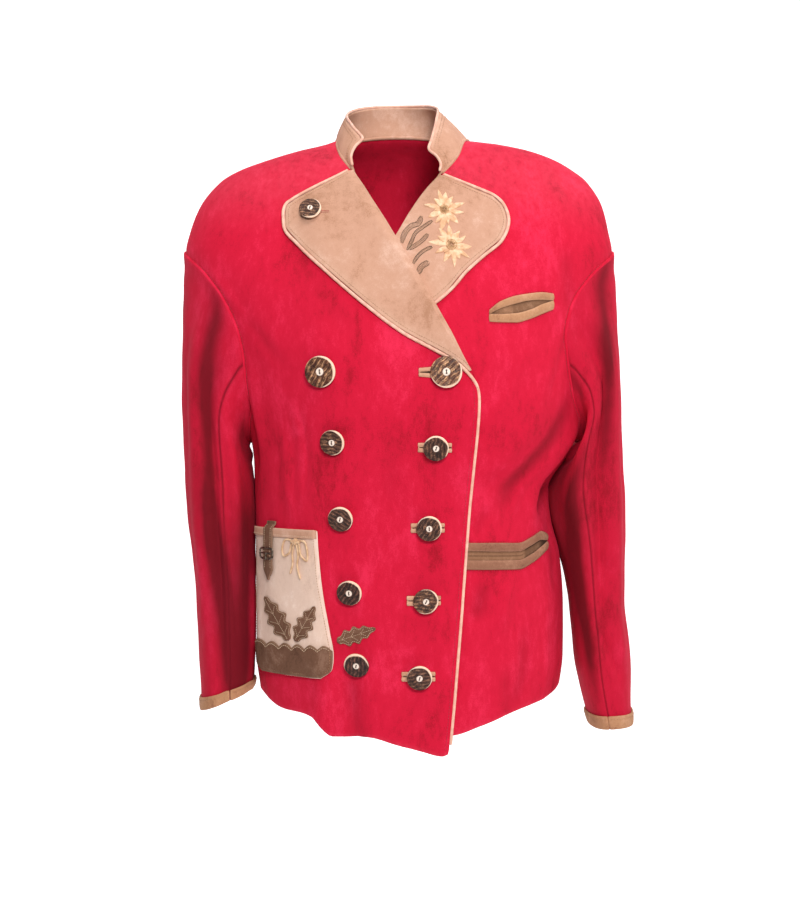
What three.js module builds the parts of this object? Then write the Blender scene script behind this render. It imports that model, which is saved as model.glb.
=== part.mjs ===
// A double-breasted folk blazer in suede, worn open at the neck and standing hollow.
// Millimetres, +Z up, +X to the wearer's left, the fronts facing -Y.
// The origin is the middle of the neck opening at the height of the neck points.
import * as THREE from 'three';

// Driving dimensions
const SUEDE = 2; // wall of fronts, back and sleeves
const LAPEL_THICK = 2.2;
const COLLAR_THICK = 3;
const SEAM = 0.4; // gap between two pieces at a seam
const ARMHOLE_GAP = 1;
const SIT = 0.4; // gap under a small piece that lies on a panel
const BROAD_SIT = 1.4; // gap under a broad piece, whose facets span the panel's
const SQUARENESS = 2.3; // exponent of the body's oval sections
const SLEEVE_SQUARENESS = 2.4;
const LAP_LIFT = 6.6; // how far the right front stands off where it laps over the left
const PIPING_RADIUS = 1.4;
const PIPING_SIDES = 6;
const BUTTON_THICK = 3.4;
const BUTTON_SIDES = 12;
const BIG_BUTTON = 17.5; // radius
const SMALL_BUTTON = 14; // radius
const ARMHOLE_TOP = -126;
const ARMHOLE_BOTTOM = -348;
const NECK_POINT = 4; // height where the shoulder seam ends at the neck
const NECK_BACK = 14; // height of the neckline at the centre back
const RIGHT_NECK_END = -39; // heights where the neckline ends at the lapels
const LEFT_NECK_END = -45;
const SIDE = 90; // turn of the side and shoulder seams
const PIPING_BESIDE = 2.6; // piping's middle from the edge it is sewn to

// The body's sections from the neck to the hem: the widths to both sides and the depths.
const BODY = [
  { z: 16, low: -66, high: 75, front: 10, back: 50 },
  { z: 5, low: -69, high: 84, front: 14, back: 62 },
  { z: 0, low: -80, high: 120, front: 22, back: 70 },
  { z: -8, low: -113, high: 158, front: 33, back: 79 },
  { z: -20, low: -152, high: 190, front: 45, back: 90 },
  { z: -32, low: -184, high: 210, front: 54, back: 97 },
  { z: -44, low: -204, high: 225, front: 62, back: 102 },
  { z: -73, low: -228, high: 243, front: 80, back: 112 },
  { z: -104, low: -240, high: 251, front: 96, back: 120 },
  { z: -126, low: -245, high: 255, front: 105, back: 124 },
  { z: -165, low: -236, high: 246, front: 120, back: 128 },
  { z: -210, low: -216, high: 230, front: 132, back: 131 },
  { z: -260, low: -194, high: 222, front: 140, back: 130 },
  { z: -309, low: -178, high: 219, front: 141, back: 126 },
  { z: -340, low: -170, high: 214, front: 139, back: 121 },
  { z: -368, low: -166, high: 200, front: 137, back: 116 },
  { z: -403, low: -165, high: 180, front: 134, back: 110 },
  { z: -440, low: -164, high: 184, front: 132, back: 108 },
  { z: -478, low: -164, high: 193, front: 132, back: 112 },
  { z: -537, low: -163, high: 198, front: 135, back: 120 },
  { z: -596, low: -163, high: 198, front: 138, back: 126 },
  { z: -643, low: -158, high: 192, front: 140, back: 128 },
  { z: -710, low: -155, high: 184, front: 141, back: 128 },
];

// The largest folds of the body: each runs from one place to another and lifts the cloth.
// turn is 0 at the centre front, 90 at the wearer's left side and 180 at the back.
const BODY_FOLDS = [
  { turn: -48, z: -330, toTurn: -44, toZ: -430, wide: 9, lift: 3 },
  { turn: -58, z: -250, toTurn: -66, toZ: -360, wide: 12, lift: 4 },
  { turn: -66, z: -260, toTurn: -76, toZ: -400, wide: 9, lift: -4 },
  { turn: -18, z: -600, toTurn: -16, toZ: -690, wide: 10, lift: -4 },
  { turn: -29, z: -590, toTurn: -30, toZ: -690, wide: 12, lift: 4 },
  { turn: 74, z: -318, toTurn: 52, toZ: -440, wide: 15, lift: 7 },
  { turn: 62, z: -300, toTurn: 38, toZ: -420, wide: 13, lift: -5 },
  { turn: 52, z: -240, toTurn: 30, toZ: -390, wide: 16, lift: 3 },
  { turn: 80, z: -400, toTurn: 60, toZ: -425, wide: 10, lift: -6 },
  { turn: 36, z: -500, toTurn: 30, toZ: -560, wide: 9, lift: 4 },
  { turn: 26, z: -505, toTurn: 20, toZ: -545, wide: 9, lift: -3 },
  { turn: 120, z: -300, toTurn: 150, toZ: -430, wide: 15, lift: 5 },
  { turn: 128, z: -330, toTurn: 158, toZ: -400, wide: 11, lift: -4 },
  { turn: 238, z: -290, toTurn: 210, toZ: -425, wide: 15, lift: 5 },
  { turn: 228, z: -340, toTurn: 204, toZ: -410, wide: 11, lift: -4 },
  { turn: 148, z: -480, toTurn: 150, toZ: -660, wide: 17, lift: 5 },
  { turn: 214, z: -500, toTurn: 210, toZ: -660, wide: 15, lift: 4 },
  { turn: 181, z: -440, toTurn: 179, toZ: -600, wide: 18, lift: -4 },
];
const MM_PER_DEGREE = 2.9;

// The armhole, as the turn on the front and on the back at each height.
const ARMHOLE = [
  { z: -126, front: 90, back: 90 },
  { z: -131, front: 82, back: 96 },
  { z: -146, front: 68, back: 108 },
  { z: -160, front: 62, back: 114 },
  { z: -182, front: 57, back: 118 },
  { z: -214, front: 56, back: 119 },
  { z: -240, front: 58, back: 118 },
  { z: -288, front: 64, back: 112 },
  { z: -320, front: 74, back: 103 },
  { z: -338, front: 82, back: 97 },
  { z: -348, front: 90, back: 90 },
];

// The inner edges of the fronts: neckline, roll line and front edge.
const RIGHT_EDGE = [
  { z: 4, x: -67.5 },
  { z: 0, x: -69 },
  { z: -15, x: -65 },
  { z: -39, x: -49 },
  { z: -79, x: -26 },
  { z: -132, x: 6 },
  { z: -189, x: 39 },
  { z: -239, x: 67 },
  { z: -283, x: 88 },
  { z: -300, x: 90.5 },
  { z: -411, x: 81 },
  { z: -522, x: 73 },
  { z: -633, x: 64 },
  { z: -700, x: 58 },
];
const LEFT_EDGE = [
  { z: 4, x: 84 },
  { z: 0, x: 81 },
  { z: -18, x: 74 },
  { z: -45, x: 52 },
  { z: -73, x: 29 },
  { z: -117, x: 4 },
  { z: -168, x: -34 },
  { z: -205, x: -60 },
  { z: -240, x: -78 },
  { z: -300, x: -82 },
  { z: -700, x: -72 },
];

// The hem's height round each panel.
const RIGHT_HEM = [
  { turn: -90, z: -634 },
  { turn: -76, z: -637 },
  { turn: -52, z: -650 },
  { turn: -42, z: -651 },
  { turn: -34, z: -655 },
  { turn: -26, z: -674 },
  { turn: -12, z: -674 },
  { turn: -3, z: -682 },
  { turn: 4, z: -690 },
  { turn: 10, z: -695 },
  { turn: 13, z: -691 },
];
const LEFT_HEM = [
  { turn: -34, z: -674 },
  { turn: 13, z: -673 },
  { turn: 24, z: -664 },
  { turn: 43, z: -648 },
  { turn: 60, z: -640 },
  { turn: 90, z: -624 },
];
const BACK_HEM = [
  { turn: 90, z: -624 },
  { turn: 130, z: -637 },
  { turn: 180, z: -643 },
  { turn: 230, z: -641 },
  { turn: 270, z: -634 },
];

// Rows of the panels' grids. Those under HEM_BLEND slide with the hem.
const PANEL_ROWS = [
  -640, -600, -560, -522, -488, -458, -430, -403, -378, -358, -348, -338, -320, -296, -268, -240,
  -212, -184, -160, -142, -131, -126, -104, -73, -44, -22, -8, 0, 3.2,
];
const HEM_LEVEL = -640;
const HEM_BLEND = -458;

// Lapels: from the roll line to the outer edge, a row for each step down the roll line.
const RIGHT_LAPEL = [
  { rollX: -49, rollZ: -39, edgeX: -113, edgeZ: -74, puff: 1 },
  { rollX: -45, rollZ: -46, edgeX: -123, edgeZ: -84, puff: 1 },
  { rollX: -38, rollZ: -57, edgeX: -123, edgeZ: -101, puff: 1 },
  { rollX: -24, rollZ: -82, edgeX: -106, edgeZ: -125, puff: 1 },
  { rollX: 6, rollZ: -132, edgeX: -50, edgeZ: -177, puff: 1 },
  { rollX: 38, rollZ: -187, edgeX: 6, edgeZ: -222, puff: 1 },
  { rollX: 64, rollZ: -234, edgeX: 50, edgeZ: -246, puff: 0.8 },
  { rollX: 76, rollZ: -255, edgeX: 72, edgeZ: -259, puff: 0.4 },
  { rollX: 83, rollZ: -267, edgeX: 81, edgeZ: -268, puff: 0.2 },
];
const LEFT_LAPEL = [
  { rollX: 52, rollZ: -45, edgeX: 111, edgeZ: -70, puff: 1 },
  { rollX: 48, rollZ: -50, edgeX: 122, edgeZ: -82, puff: 1 },
  { rollX: 41, rollZ: -58, edgeX: 126, edgeZ: -98, puff: 0.9 },
  { rollX: 31, rollZ: -71, edgeX: 121, edgeZ: -115, puff: 0.7 },
  { rollX: 18, rollZ: -92, edgeX: 100, edgeZ: -135, puff: 0.2 },
  { rollX: 4, rollZ: -117, edgeX: 76, edgeZ: -157, puff: 0 },
  { rollX: -10, rollZ: -136, edgeX: 50, edgeZ: -186, puff: 0 },
  { rollX: -24, rollZ: -155, edgeX: 20, edgeZ: -202, puff: 0 },
];
// The lapel's turn over the roll line, seen in section: distance over the front and lift off it.
const ROLL = [
  { outerOver: -3, outerLift: -1.8, innerOver: -0.6, innerLift: -1.8 },
  { outerOver: -2.4, outerLift: 2.6, innerOver: -0.5, innerLift: 1.2 },
  { outerOver: 1.5, outerLift: 4.8, innerOver: 2.2, innerLift: 2.6 },
];
const LAPEL_ACROSS = [0.1, 0.2, 0.36, 0.56, 0.78, 1];
const LAPEL_PUFF = 3.4;
const LAPEL_PUFF_REACH = 24;
const LAPEL_FLAT_FROM = 3.6; // distance over the front where the turn ends
// Places down the lapels' edges, and heights down the front edge, that the piping runs through.
const RIGHT_PIPING = [0.02, 0.08, 0.14, 0.2, 0.28, 0.37, 0.46, 0.55, 0.64, 0.73, 0.82, 0.9];
const LEFT_PIPING = [0.02, 0.1, 0.18, 0.27, 0.36, 0.46, 0.58, 0.7, 0.8];
const FRONT_PIPING = [-288, -296, -306, -330, -370, -411, -455, -500, -545, -590, -635, -665, -688];

// The collar's top edge from its right end round the back to its left end.
const COLLAR_TOP = [
  { part: -1, x: -38, y: -46, z: 1 },
  { part: -0.82, x: -50, y: -33, z: 15 },
  { part: -0.6, x: -58, y: -4, z: 31 },
  { part: -0.3, x: -42, y: 37, z: 45 },
  { part: 0, x: -3, y: 54, z: 50 },
  { part: 0.3, x: 37, y: 37, z: 48 },
  { part: 0.6, x: 52, y: -4, z: 38 },
  { part: 0.82, x: 48, y: -33, z: 16 },
  { part: 1, x: 40, y: -48, z: -12 },
];
const COLLAR_SIDE = 0.6; // part of the collar at the shoulder seams
const COLLAR_GAP = 1.8; // between the neckline and the collar's foot
const COLLAR_BELLY = 1.5;
const COLLAR_NOTCH = 7; // how far the front ends are hollowed

// Sleeves: outer and inner guide lines and the depths, a row for each step to the cuff.
const RIGHT_SLEEVE = [
  { down: 0, outX: -245, outZ: -126, inX: -170, inZ: -348, front: -80, back: 78 },
  { down: 0.05, outX: -244, outZ: -143, inX: -178, inZ: -350, front: -79, back: 79 },
  { down: 0.12, outX: -245, outZ: -168, inX: -179, inZ: -355, front: -77, back: 79 },
  { down: 0.22, outX: -246.5, outZ: -215, inX: -176, inZ: -364, front: -75, back: 78 },
  { down: 0.34, outX: -247, outZ: -285, inX: -171.5, inZ: -382, front: -72, back: 75 },
  { down: 0.46, outX: -244.5, outZ: -355, inX: -168.4, inZ: -412, front: -70, back: 70 },
  { down: 0.6, outX: -241, outZ: -425, inX: -167.4, inZ: -460, front: -67, back: 63 },
  { down: 0.75, outX: -233, outZ: -505, inX: -166.8, inZ: -520, front: -62, back: 54 },
  { down: 0.88, outX: -229, outZ: -590, inX: -167, inZ: -588, front: -60, back: 44 },
  { down: 1, outX: -225.5, outZ: -662, inX: -169.5, inZ: -636, front: -60, back: 38 },
];
const LEFT_SLEEVE = [
  { down: 0, outX: 255, outZ: -126, inX: 213, inZ: -348, front: -80, back: 78 },
  { down: 0.05, outX: 254.5, outZ: -143, inX: 223.5, inZ: -350, front: -79, back: 79 },
  { down: 0.12, outX: 256.5, outZ: -168, inX: 225.5, inZ: -355, front: -77, back: 79 },
  { down: 0.22, outX: 258.5, outZ: -215, inX: 216, inZ: -366, front: -75, back: 78 },
  { down: 0.34, outX: 262.5, outZ: -285, inX: 196, inZ: -388, front: -72, back: 75 },
  { down: 0.46, outX: 264.5, outZ: -360, inX: 186.5, inZ: -422, front: -70, back: 70 },
  { down: 0.6, outX: 267.5, outZ: -440, inX: 196.5, inZ: -470, front: -67, back: 63 },
  { down: 0.75, outX: 266.5, outZ: -530, inX: 207.5, inZ: -536, front: -64, back: 53 },
  { down: 0.88, outX: 275, outZ: -610, inX: 214.5, inZ: -606, front: -64, back: 40 },
  { down: 1, outX: 276, outZ: -676, inX: 232, inZ: -679, front: -66, back: 30 },
];
// Folds of the sleeves: round is 0 at the outside, 90 in front and 180 inside.
const RIGHT_SLEEVE_FOLDS = [
  { round: 88, down: 0.12, toRound: 90, toDown: 0.95, wide: 9, lift: -9 },
  { round: 62, down: 0.1, toRound: 58, toDown: 0.9, wide: 14, lift: 4 },
  { round: 124, down: 0.2, toRound: 122, toDown: 0.8, wide: 9, lift: 4 },
  { round: 160, down: 0.36, toRound: 158, toDown: 0.99, wide: 7, lift: 5 },
  { round: 268, down: 0.15, toRound: 274, toDown: 0.8, wide: 11, lift: -6 },
  { round: 300, down: 0.3, toRound: 285, toDown: 0.95, wide: 14, lift: 4 },
];
const LEFT_SLEEVE_FOLDS = [
  { round: 72, down: 0.02, toRound: 92, toDown: 0.8, wide: 9, lift: -9 },
  { round: 112, down: 0.1, toRound: 116, toDown: 0.7, wide: 11, lift: 5 },
  { round: 48, down: 0.2, toRound: 56, toDown: 0.9, wide: 14, lift: 4 },
  { round: 160, down: 0.3, toRound: 160, toDown: 0.62, wide: 7, lift: 4 },
  { round: 98, down: 0.8, toRound: 70, toDown: 0.9, wide: 7, lift: -4 },
  { round: 272, down: 0.2, toRound: 266, toDown: 0.85, wide: 11, lift: -6 },
  { round: 295, down: 0.35, toRound: 300, toDown: 0.9, wide: 14, lift: 4 },
];
const SLEEVE_LENGTH = 540;
const SLEEVE_MM_PER_DEGREE = 0.95;
const FRONT_SEAM = 101; // where the two parts of a sleeve meet, in front and behind
const BACK_SEAM = 246;
const SLEEVE_ROWS = 17;
const ARMHOLE_FADE = 0.34; // how far down the sleeve the armhole's line shows
const CUFF_BAND = 12.5;
const CUFF_BAND_THICK = 1.5;
const CUFF_BAND_SIT = 1.2;
const CUFF_VENT = 3; // gap between the band's two ends

// Welt pockets: heights of the upper welt, the mouth and the lower welt.
const BREAST_POCKET = [
  { x: 106, top: -199.6, mouthTop: -203.4, mouthBottom: -204.6, bottom: -212 },
  { x: 118, top: -190.4, mouthTop: -197, mouthBottom: -204.6, bottom: -212.5 },
  { x: 135, top: -184, mouthTop: -191.5, mouthBottom: -203.5, bottom: -212.5 },
  { x: 152, top: -180.8, mouthTop: -187.5, mouthBottom: -199, bottom: -208 },
  { x: 166, top: -179.3, mouthTop: -186.6, mouthBottom: -192.5, bottom: -202 },
  { x: 178, top: -180.3, mouthTop: -187, mouthBottom: -188.4, bottom: -197 },
];
const HIP_POCKET = [
  { x: 72, top: -460, mouthTop: -468, mouthBottom: -479, bottom: -488 },
  { x: 95, top: -460.5, mouthTop: -468.5, mouthBottom: -480, bottom: -489 },
  { x: 118, top: -461, mouthTop: -469.5, mouthBottom: -480.5, bottom: -489.5 },
  { x: 140, top: -462, mouthTop: -470, mouthBottom: -481, bottom: -490 },
  { x: 155, top: -456, mouthTop: -464, mouthBottom: -475, bottom: -484 },
  { x: 166, top: -450.6, mouthTop: -459, mouthBottom: -468, bottom: -476.5 },
  { x: 174, top: -454, mouthTop: -460.5, mouthBottom: -462.5, bottom: -470 },
];
const WELT_SIT = 1;
const WELT_THICK = 1.6;
const POCKET_INSIDE_THICK = 0.8;

// Patch pocket on the right hip: its sides at each height.
const PATCH = [
  { z: -447, side: -159, fore: -84 },
  { z: -470, side: -159, fore: -82 },
  { z: -520, side: -159, fore: -77 },
  { z: -560, side: -159, fore: -70 },
  { z: -585, side: -158, fore: -66 },
  { z: -600, side: -156, fore: -68 },
  { z: -611, side: -148, fore: -78 },
];
const PATCH_SIT = 2.2;
const PATCH_THICK = 1.6;
const PATCH_BAND_TOP = -580;
const PATCH_BAND_THICK = 1.4;
const PATCH_RIM = 7;
const PATCH_RIM_THICK = 1.2;
const STRAP = { x: -139, top: -438, long: 66, wide: 10, thick: 1.5 };
const BUCKLE_SIT = 0.6;
const BUCKLE = { z: -474, wide: 17, tall: 14, bar: 2.2, thick: 1.8 };
const LACE = { x: -108, z: -459, radius: 1.2, knot: 3 };
const KNOT_LIFT = 2.1;
// The lace's loops and ends, measured from the knot.
const LACE_ROUTES = {
  loop_left: [
    { x: -5.1, z: 1.5, lift: 1.2 },
    { x: -11, z: 2, lift: 1.1 },
    { x: -15, z: -5, lift: 1 },
    { x: -13, z: -17, lift: 1 },
    { x: -8, z: -14, lift: 1 },
    { x: -4.4, z: -2.6, lift: 1.2 },
  ],
  loop_right: [
    { x: 5.1, z: 1.5, lift: 1.2 },
    { x: 10, z: 1, lift: 1.1 },
    { x: 14, z: -8, lift: 1 },
    { x: 13, z: -21, lift: 1 },
    { x: 8, z: -17, lift: 1 },
    { x: 4.4, z: -2.6, lift: 1.2 },
  ],
  end_left: [
    { x: -1.6, z: -3.3, lift: 1.2 },
    { x: -3.5, z: -14, lift: 1 },
    { x: -3, z: -25, lift: 1 },
    { x: -6, z: -36, lift: 1 },
  ],
  end_right: [
    { x: 1.6, z: -3.3, lift: 1.2 },
    { x: 3.5, z: -15, lift: 1 },
    { x: 2.5, z: -27, lift: 1 },
    { x: 6, z: -41, lift: 1 },
  ],
};
// Leaves: foot, heading in degrees from +X towards +Z, and how far they stand off the front.
const LEAVES = [
  { name: 'leaf_1', x: -116, z: -571, heading: 122, long: 54, half: 12, lift: 4.4 },
  { name: 'leaf_2', x: -108, z: -571, heading: 60, long: 46, half: 10.5, lift: 4.4 },
  { name: 'leaf_3', x: -62, z: -569, heading: 20, long: 44, half: 9.5, lift: 0.5 },
];
const LEAF_LOBES = 4;
const LEAF_THICK = 1.2;
const SCALLOPS = 6;
const SCALLOP_DEPTH = 5;

const BUTTONS = [
  { name: 'button_left_1', x: -79.5, z: -268, radius: BIG_BUTTON, tilt: 0 },
  { name: 'button_left_2', x: -65.5, z: -346, radius: SMALL_BUTTON, tilt: 6 },
  { name: 'button_left_3', x: -57, z: -431, radius: SMALL_BUTTON, tilt: 10 },
  { name: 'button_left_4', x: -47.5, z: -514, radius: SMALL_BUTTON, tilt: 16 },
  { name: 'button_left_5', x: -39, z: -593, radius: SMALL_BUTTON, tilt: 20 },
  { name: 'button_right_1', x: 56, z: -269.5, radius: BIG_BUTTON, tilt: 0 },
  { name: 'button_right_2', x: 45, z: -352, radius: SMALL_BUTTON, tilt: 6 },
  { name: 'button_right_3', x: 37, z: -442, radius: SMALL_BUTTON, tilt: 10 },
  { name: 'button_right_4', x: 33, z: -523, radius: SMALL_BUTTON, tilt: 14 },
  { name: 'button_right_5', x: 27, z: -607, radius: SMALL_BUTTON, tilt: 18 },
];
const LAPEL_BUTTON = { x: -94, z: -89.5, radius: 12.5 };
const BUTTONHOLE_LONG = 36;
const BUTTONHOLE_TALL = 13;
const BUTTONHOLE_THICK = 1.4;
const BUTTONHOLE_ASIDE = -5; // its middle from the button's
const LIPS = [
  { up: -0.5, thick: 0.5 },
  { up: -0.3, thick: 1 },
  { up: 0, thick: 0.4 },
  { up: 0.3, thick: 1 },
  { up: 0.5, thick: 0.5 },
];

const { degToRad, lerp, smoothstep, clamp } = THREE.MathUtils;

// Reads one column of a table at a place between its rows, on a smooth curve that never overshoots.
function read(table, by, key, at) {
  const rising = table[0][by] < table[table.length - 1][by];
  const rows = rising ? table : [...table].reverse();
  const last = rows.length - 1;
  const place = clamp(at, rows[0][by], rows[last][by]);
  const slope = (i) => (rows[i + 1][key] - rows[i][key]) / (rows[i + 1][by] - rows[i][by]);
  const tangent = (i) => {
    if (i === 0) return slope(0);
    if (i === last) return slope(last - 1);
    const before = slope(i - 1);
    const after = slope(i);
    return before * after <= 0 ? 0 : (2 * before * after) / (before + after);
  };
  let i = 0;
  while (i < last - 1 && place >= rows[i + 1][by]) i += 1;
  const span = rows[i + 1][by] - rows[i][by];
  const t = (place - rows[i][by]) / span;
  return (
    rows[i][key] * (1 + 2 * t) * (1 - t) ** 2 +
    span * tangent(i) * t * (1 - t) ** 2 +
    rows[i + 1][key] * t * t * (3 - 2 * t) +
    span * tangent(i + 1) * t * t * (t - 1)
  );
}

// A power that keeps the sign, for the oval sections.
const bend = (value, squareness) => Math.sign(value) * Math.abs(value) ** (2 / squareness);
const steps = (count) => Array.from({ length: count + 1 }, (_, i) => i / count);

// The lift of all folds at a place, each fading to its sides and its ends.
function foldLift(folds, across, along) {
  let lift = 0;
  for (const fold of folds) {
    const start = new THREE.Vector2(...fold.from);
    const run = new THREE.Vector2(...fold.to).sub(start);
    const offset = new THREE.Vector2(across, along).sub(start);
    const part = offset.dot(run) / run.lengthSq();
    const aside = Math.abs(offset.cross(run)) / run.length();
    const ends = smoothstep(part, -0.15, 0.3) * (1 - smoothstep(part, 0.7, 1.15));
    lift += fold.lift * ends * Math.exp(-((aside / fold.wide) ** 2));
  }
  return lift;
}
const bodyFolds = BODY_FOLDS.map((fold) => ({
  ...fold,
  from: [fold.turn * MM_PER_DEGREE, fold.z],
  to: [fold.toTurn * MM_PER_DEGREE, fold.toZ],
}));

// The turn of the place on the front half with this x at this height.
function turnAt(x, z) {
  const low = read(BODY, 'z', 'low', z);
  const high = read(BODY, 'z', 'high', z);
  const across = clamp((2 * x - low - high) / (high - low), -1, 1);
  const sine = Math.sign(across) * Math.abs(across) ** (SQUARENESS / 2);
  return THREE.MathUtils.radToDeg(Math.asin(sine));
}

// The body's outer form with its folds, at a turn and a height.
function bodySkin(turn, z) {
  const low = read(BODY, 'z', 'low', z);
  const high = read(BODY, 'z', 'high', z);
  const sine = Math.sin(degToRad(turn));
  const cosine = Math.cos(degToRad(turn));
  const half = (high - low) / 2;
  const depth = read(BODY, 'z', cosine > 0 ? 'front' : 'back', z);
  const across = bend(sine, SQUARENESS);
  const ahead = bend(cosine, SQUARENESS);
  const outward = new THREE.Vector2(
    (Math.sign(across) * Math.abs(across) ** (SQUARENESS - 1)) / half,
    (-Math.sign(ahead) * Math.abs(ahead) ** (SQUARENESS - 1)) / depth,
  ).normalize();
  const place = turn < -SIDE ? turn + 360 : turn;
  const lift = foldLift(bodyFolds, place * MM_PER_DEGREE, z);
  return new THREE.Vector3(
    (low + high) / 2 + half * across + outward.x * lift,
    -depth * ahead + outward.y * lift,
    z,
  );
}

// A place on the body, moved out along the cloth's normal.
function onBody(turn, z, lift) {
  const round = bodySkin(turn + 0.7, z).sub(bodySkin(turn - 0.7, z));
  const up = bodySkin(turn, z + 1.5).sub(bodySkin(turn, z - 1.5));
  const normal = round.cross(up).normalize();
  return bodySkin(turn, z).addScaledVector(normal, lift);
}

// How far the right front is lifted by the left front and lapel under it.
const lapLift = (x, z) => LAP_LIFT * smoothstep(x, -130, -72) * smoothstep(-z, 40, 104);
const onRightFront = (x, z, lift) => onBody(turnAt(x, z), z, lift + lapLift(x, z));
const onLeftFront = (x, z, lift) => onBody(turnAt(x, z), z, lift);

// A closed wall between two grids of points, one on each face.
function wall(outer, inner) {
  const rows = outer.length;
  const cols = outer[0].length;
  const points = [...outer.flat(), ...inner.flat()];
  const at = (face, row, col) => face * rows * cols + row * cols + col;
  const faces = [];
  const quad = (a, b, c, d) => faces.push(a, b, c, a, c, d);
  for (let row = 0; row < rows - 1; row += 1) {
    for (let col = 0; col < cols - 1; col += 1) {
      quad(at(0, row, col), at(0, row, col + 1), at(0, row + 1, col + 1), at(0, row + 1, col));
      quad(at(1, row, col), at(1, row + 1, col), at(1, row + 1, col + 1), at(1, row, col + 1));
    }
  }
  for (let col = 0; col < cols - 1; col += 1) {
    quad(at(0, 0, col + 1), at(0, 0, col), at(1, 0, col), at(1, 0, col + 1));
    quad(at(0, rows - 1, col), at(0, rows - 1, col + 1), at(1, rows - 1, col + 1), at(1, rows - 1, col));
  }
  for (let row = 0; row < rows - 1; row += 1) {
    quad(at(0, row, 0), at(0, row + 1, 0), at(1, row + 1, 0), at(1, row, 0));
    quad(at(0, row + 1, cols - 1), at(0, row, cols - 1), at(1, row, cols - 1), at(1, row + 1, cols - 1));
  }
  const volume = faces.reduce((sum, _, i) => {
    if (i % 3) return sum;
    const [a, b, c] = [points[faces[i]], points[faces[i + 1]], points[faces[i + 2]]];
    return sum + a.dot(b.clone().cross(c));
  }, 0);
  if (volume < 0) faces.reverse();
  const geometry = new THREE.BufferGeometry().setFromPoints(points);
  geometry.setIndex(faces);
  geometry.computeVertexNormals();
  return geometry;
}

// The same grid moved along its normals; a positive distance goes to the side where round x up points.
function offsetGrid(grid, distance) {
  return grid.map((row, r) => row.map((point, c) => {
    const round = row[Math.min(c + 1, row.length - 1)].clone().sub(row[Math.max(c - 1, 0)]);
    const above = grid[Math.min(r + 1, grid.length - 1)][c];
    const up = above.clone().sub(grid[Math.max(r - 1, 0)][c]);
    return point.clone().addScaledVector(round.cross(up).normalize(), distance);
  }));
}

const blazer = new THREE.Group();
const finishes = {
  suede: new THREE.MeshStandardMaterial({ color: '#c8102e', roughness: 0.95 }),
  tan: new THREE.MeshStandardMaterial({ color: '#c09a72', roughness: 0.95 }),
  piping: new THREE.MeshStandardMaterial({ color: '#d9a08a', roughness: 0.7 }),
  brown: new THREE.MeshStandardMaterial({ color: '#7a5c40', roughness: 0.9 }),
  pale: new THREE.MeshStandardMaterial({ color: '#cdb79c', roughness: 0.95 }),
  horn: new THREE.MeshStandardMaterial({ color: '#6b4a36', roughness: 0.45 }),
  metal: new THREE.MeshStandardMaterial({ color: '#6d675f', roughness: 0.4, metalness: 0.9 }),
};
function add(name, geometry, finish) {
  const mesh = new THREE.Mesh(geometry, finishes[finish].clone());
  mesh.name = name;
  blazer.add(mesh);
}

// A panel's row heights slide down to the hem at each turn.
function rowHeight(level, turn, hem) {
  if (level >= HEM_BLEND) return level;
  const part = (HEM_BLEND - level) / (HEM_BLEND - HEM_LEVEL);
  return lerp(HEM_BLEND, read(hem, 'turn', 'z', turn), part);
}
const seamTurn = SEAM / 2 / MM_PER_DEGREE;
const armholeTurn = (key, z) => {
  if (z > ARMHOLE_TOP || z < ARMHOLE_BOTTOM) return SIDE;
  return read(ARMHOLE, 'z', key, z);
};

// A front: from its inner edge to the shoulder seam, armhole and side seam.
function frontPanel(side, edge, hem, lift) {
  const outer = [];
  const inner = [];
  for (const level of PANEL_ROWS) {
    const outTurn = side * (armholeTurn('front', level) - seamTurn);
    const firstTurn = turnAt(read(edge, 'z', 'x', level), level);
    const edgeZ = rowHeight(level, firstTurn, hem);
    const edgeTurn = turnAt(read(edge, 'z', 'x', edgeZ), edgeZ);
    const outerRow = [];
    const innerRow = [];
    for (const part of steps(14)) {
      const turn = lerp(edgeTurn, outTurn, part);
      const z = rowHeight(level, turn, hem);
      const raised = lift(bodySkin(turn, z).x, z);
      outerRow.push(onBody(turn, z, raised));
      innerRow.push(onBody(turn, z, raised - SUEDE));
    }
    outer.push(outerRow);
    inner.push(innerRow);
  }
  return wall(outer, inner);
}
add('front_right', frontPanel(-1, RIGHT_EDGE, RIGHT_HEM, lapLift), 'suede');
add('front_left', frontPanel(1, LEFT_EDGE, LEFT_HEM, () => 0), 'suede');

// The back's neckline rises from the neck points to the centre back.
const neckHeight = (turn) => lerp(NECK_POINT, NECK_BACK, Math.cos(degToRad(turn)) ** 2);
function backPanel() {
  const outer = [];
  const inner = [];
  for (const level of PANEL_ROWS) {
    const from = armholeTurn('back', level) + seamTurn;
    const outerRow = [];
    const innerRow = [];
    for (const part of steps(17)) {
      const turn = lerp(from, 360 - from, part);
      const raised = (neckHeight(turn) - NECK_POINT) * smoothstep(level, -30, NECK_POINT);
      const z = rowHeight(level, turn, BACK_HEM) + raised;
      outerRow.push(onBody(turn, z, 0));
      innerRow.push(onBody(turn, z, -SUEDE));
    }
    outer.push(outerRow);
    inner.push(innerRow);
  }
  return wall(outer, inner);
}
add('back', backPanel(), 'suede');

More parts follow.
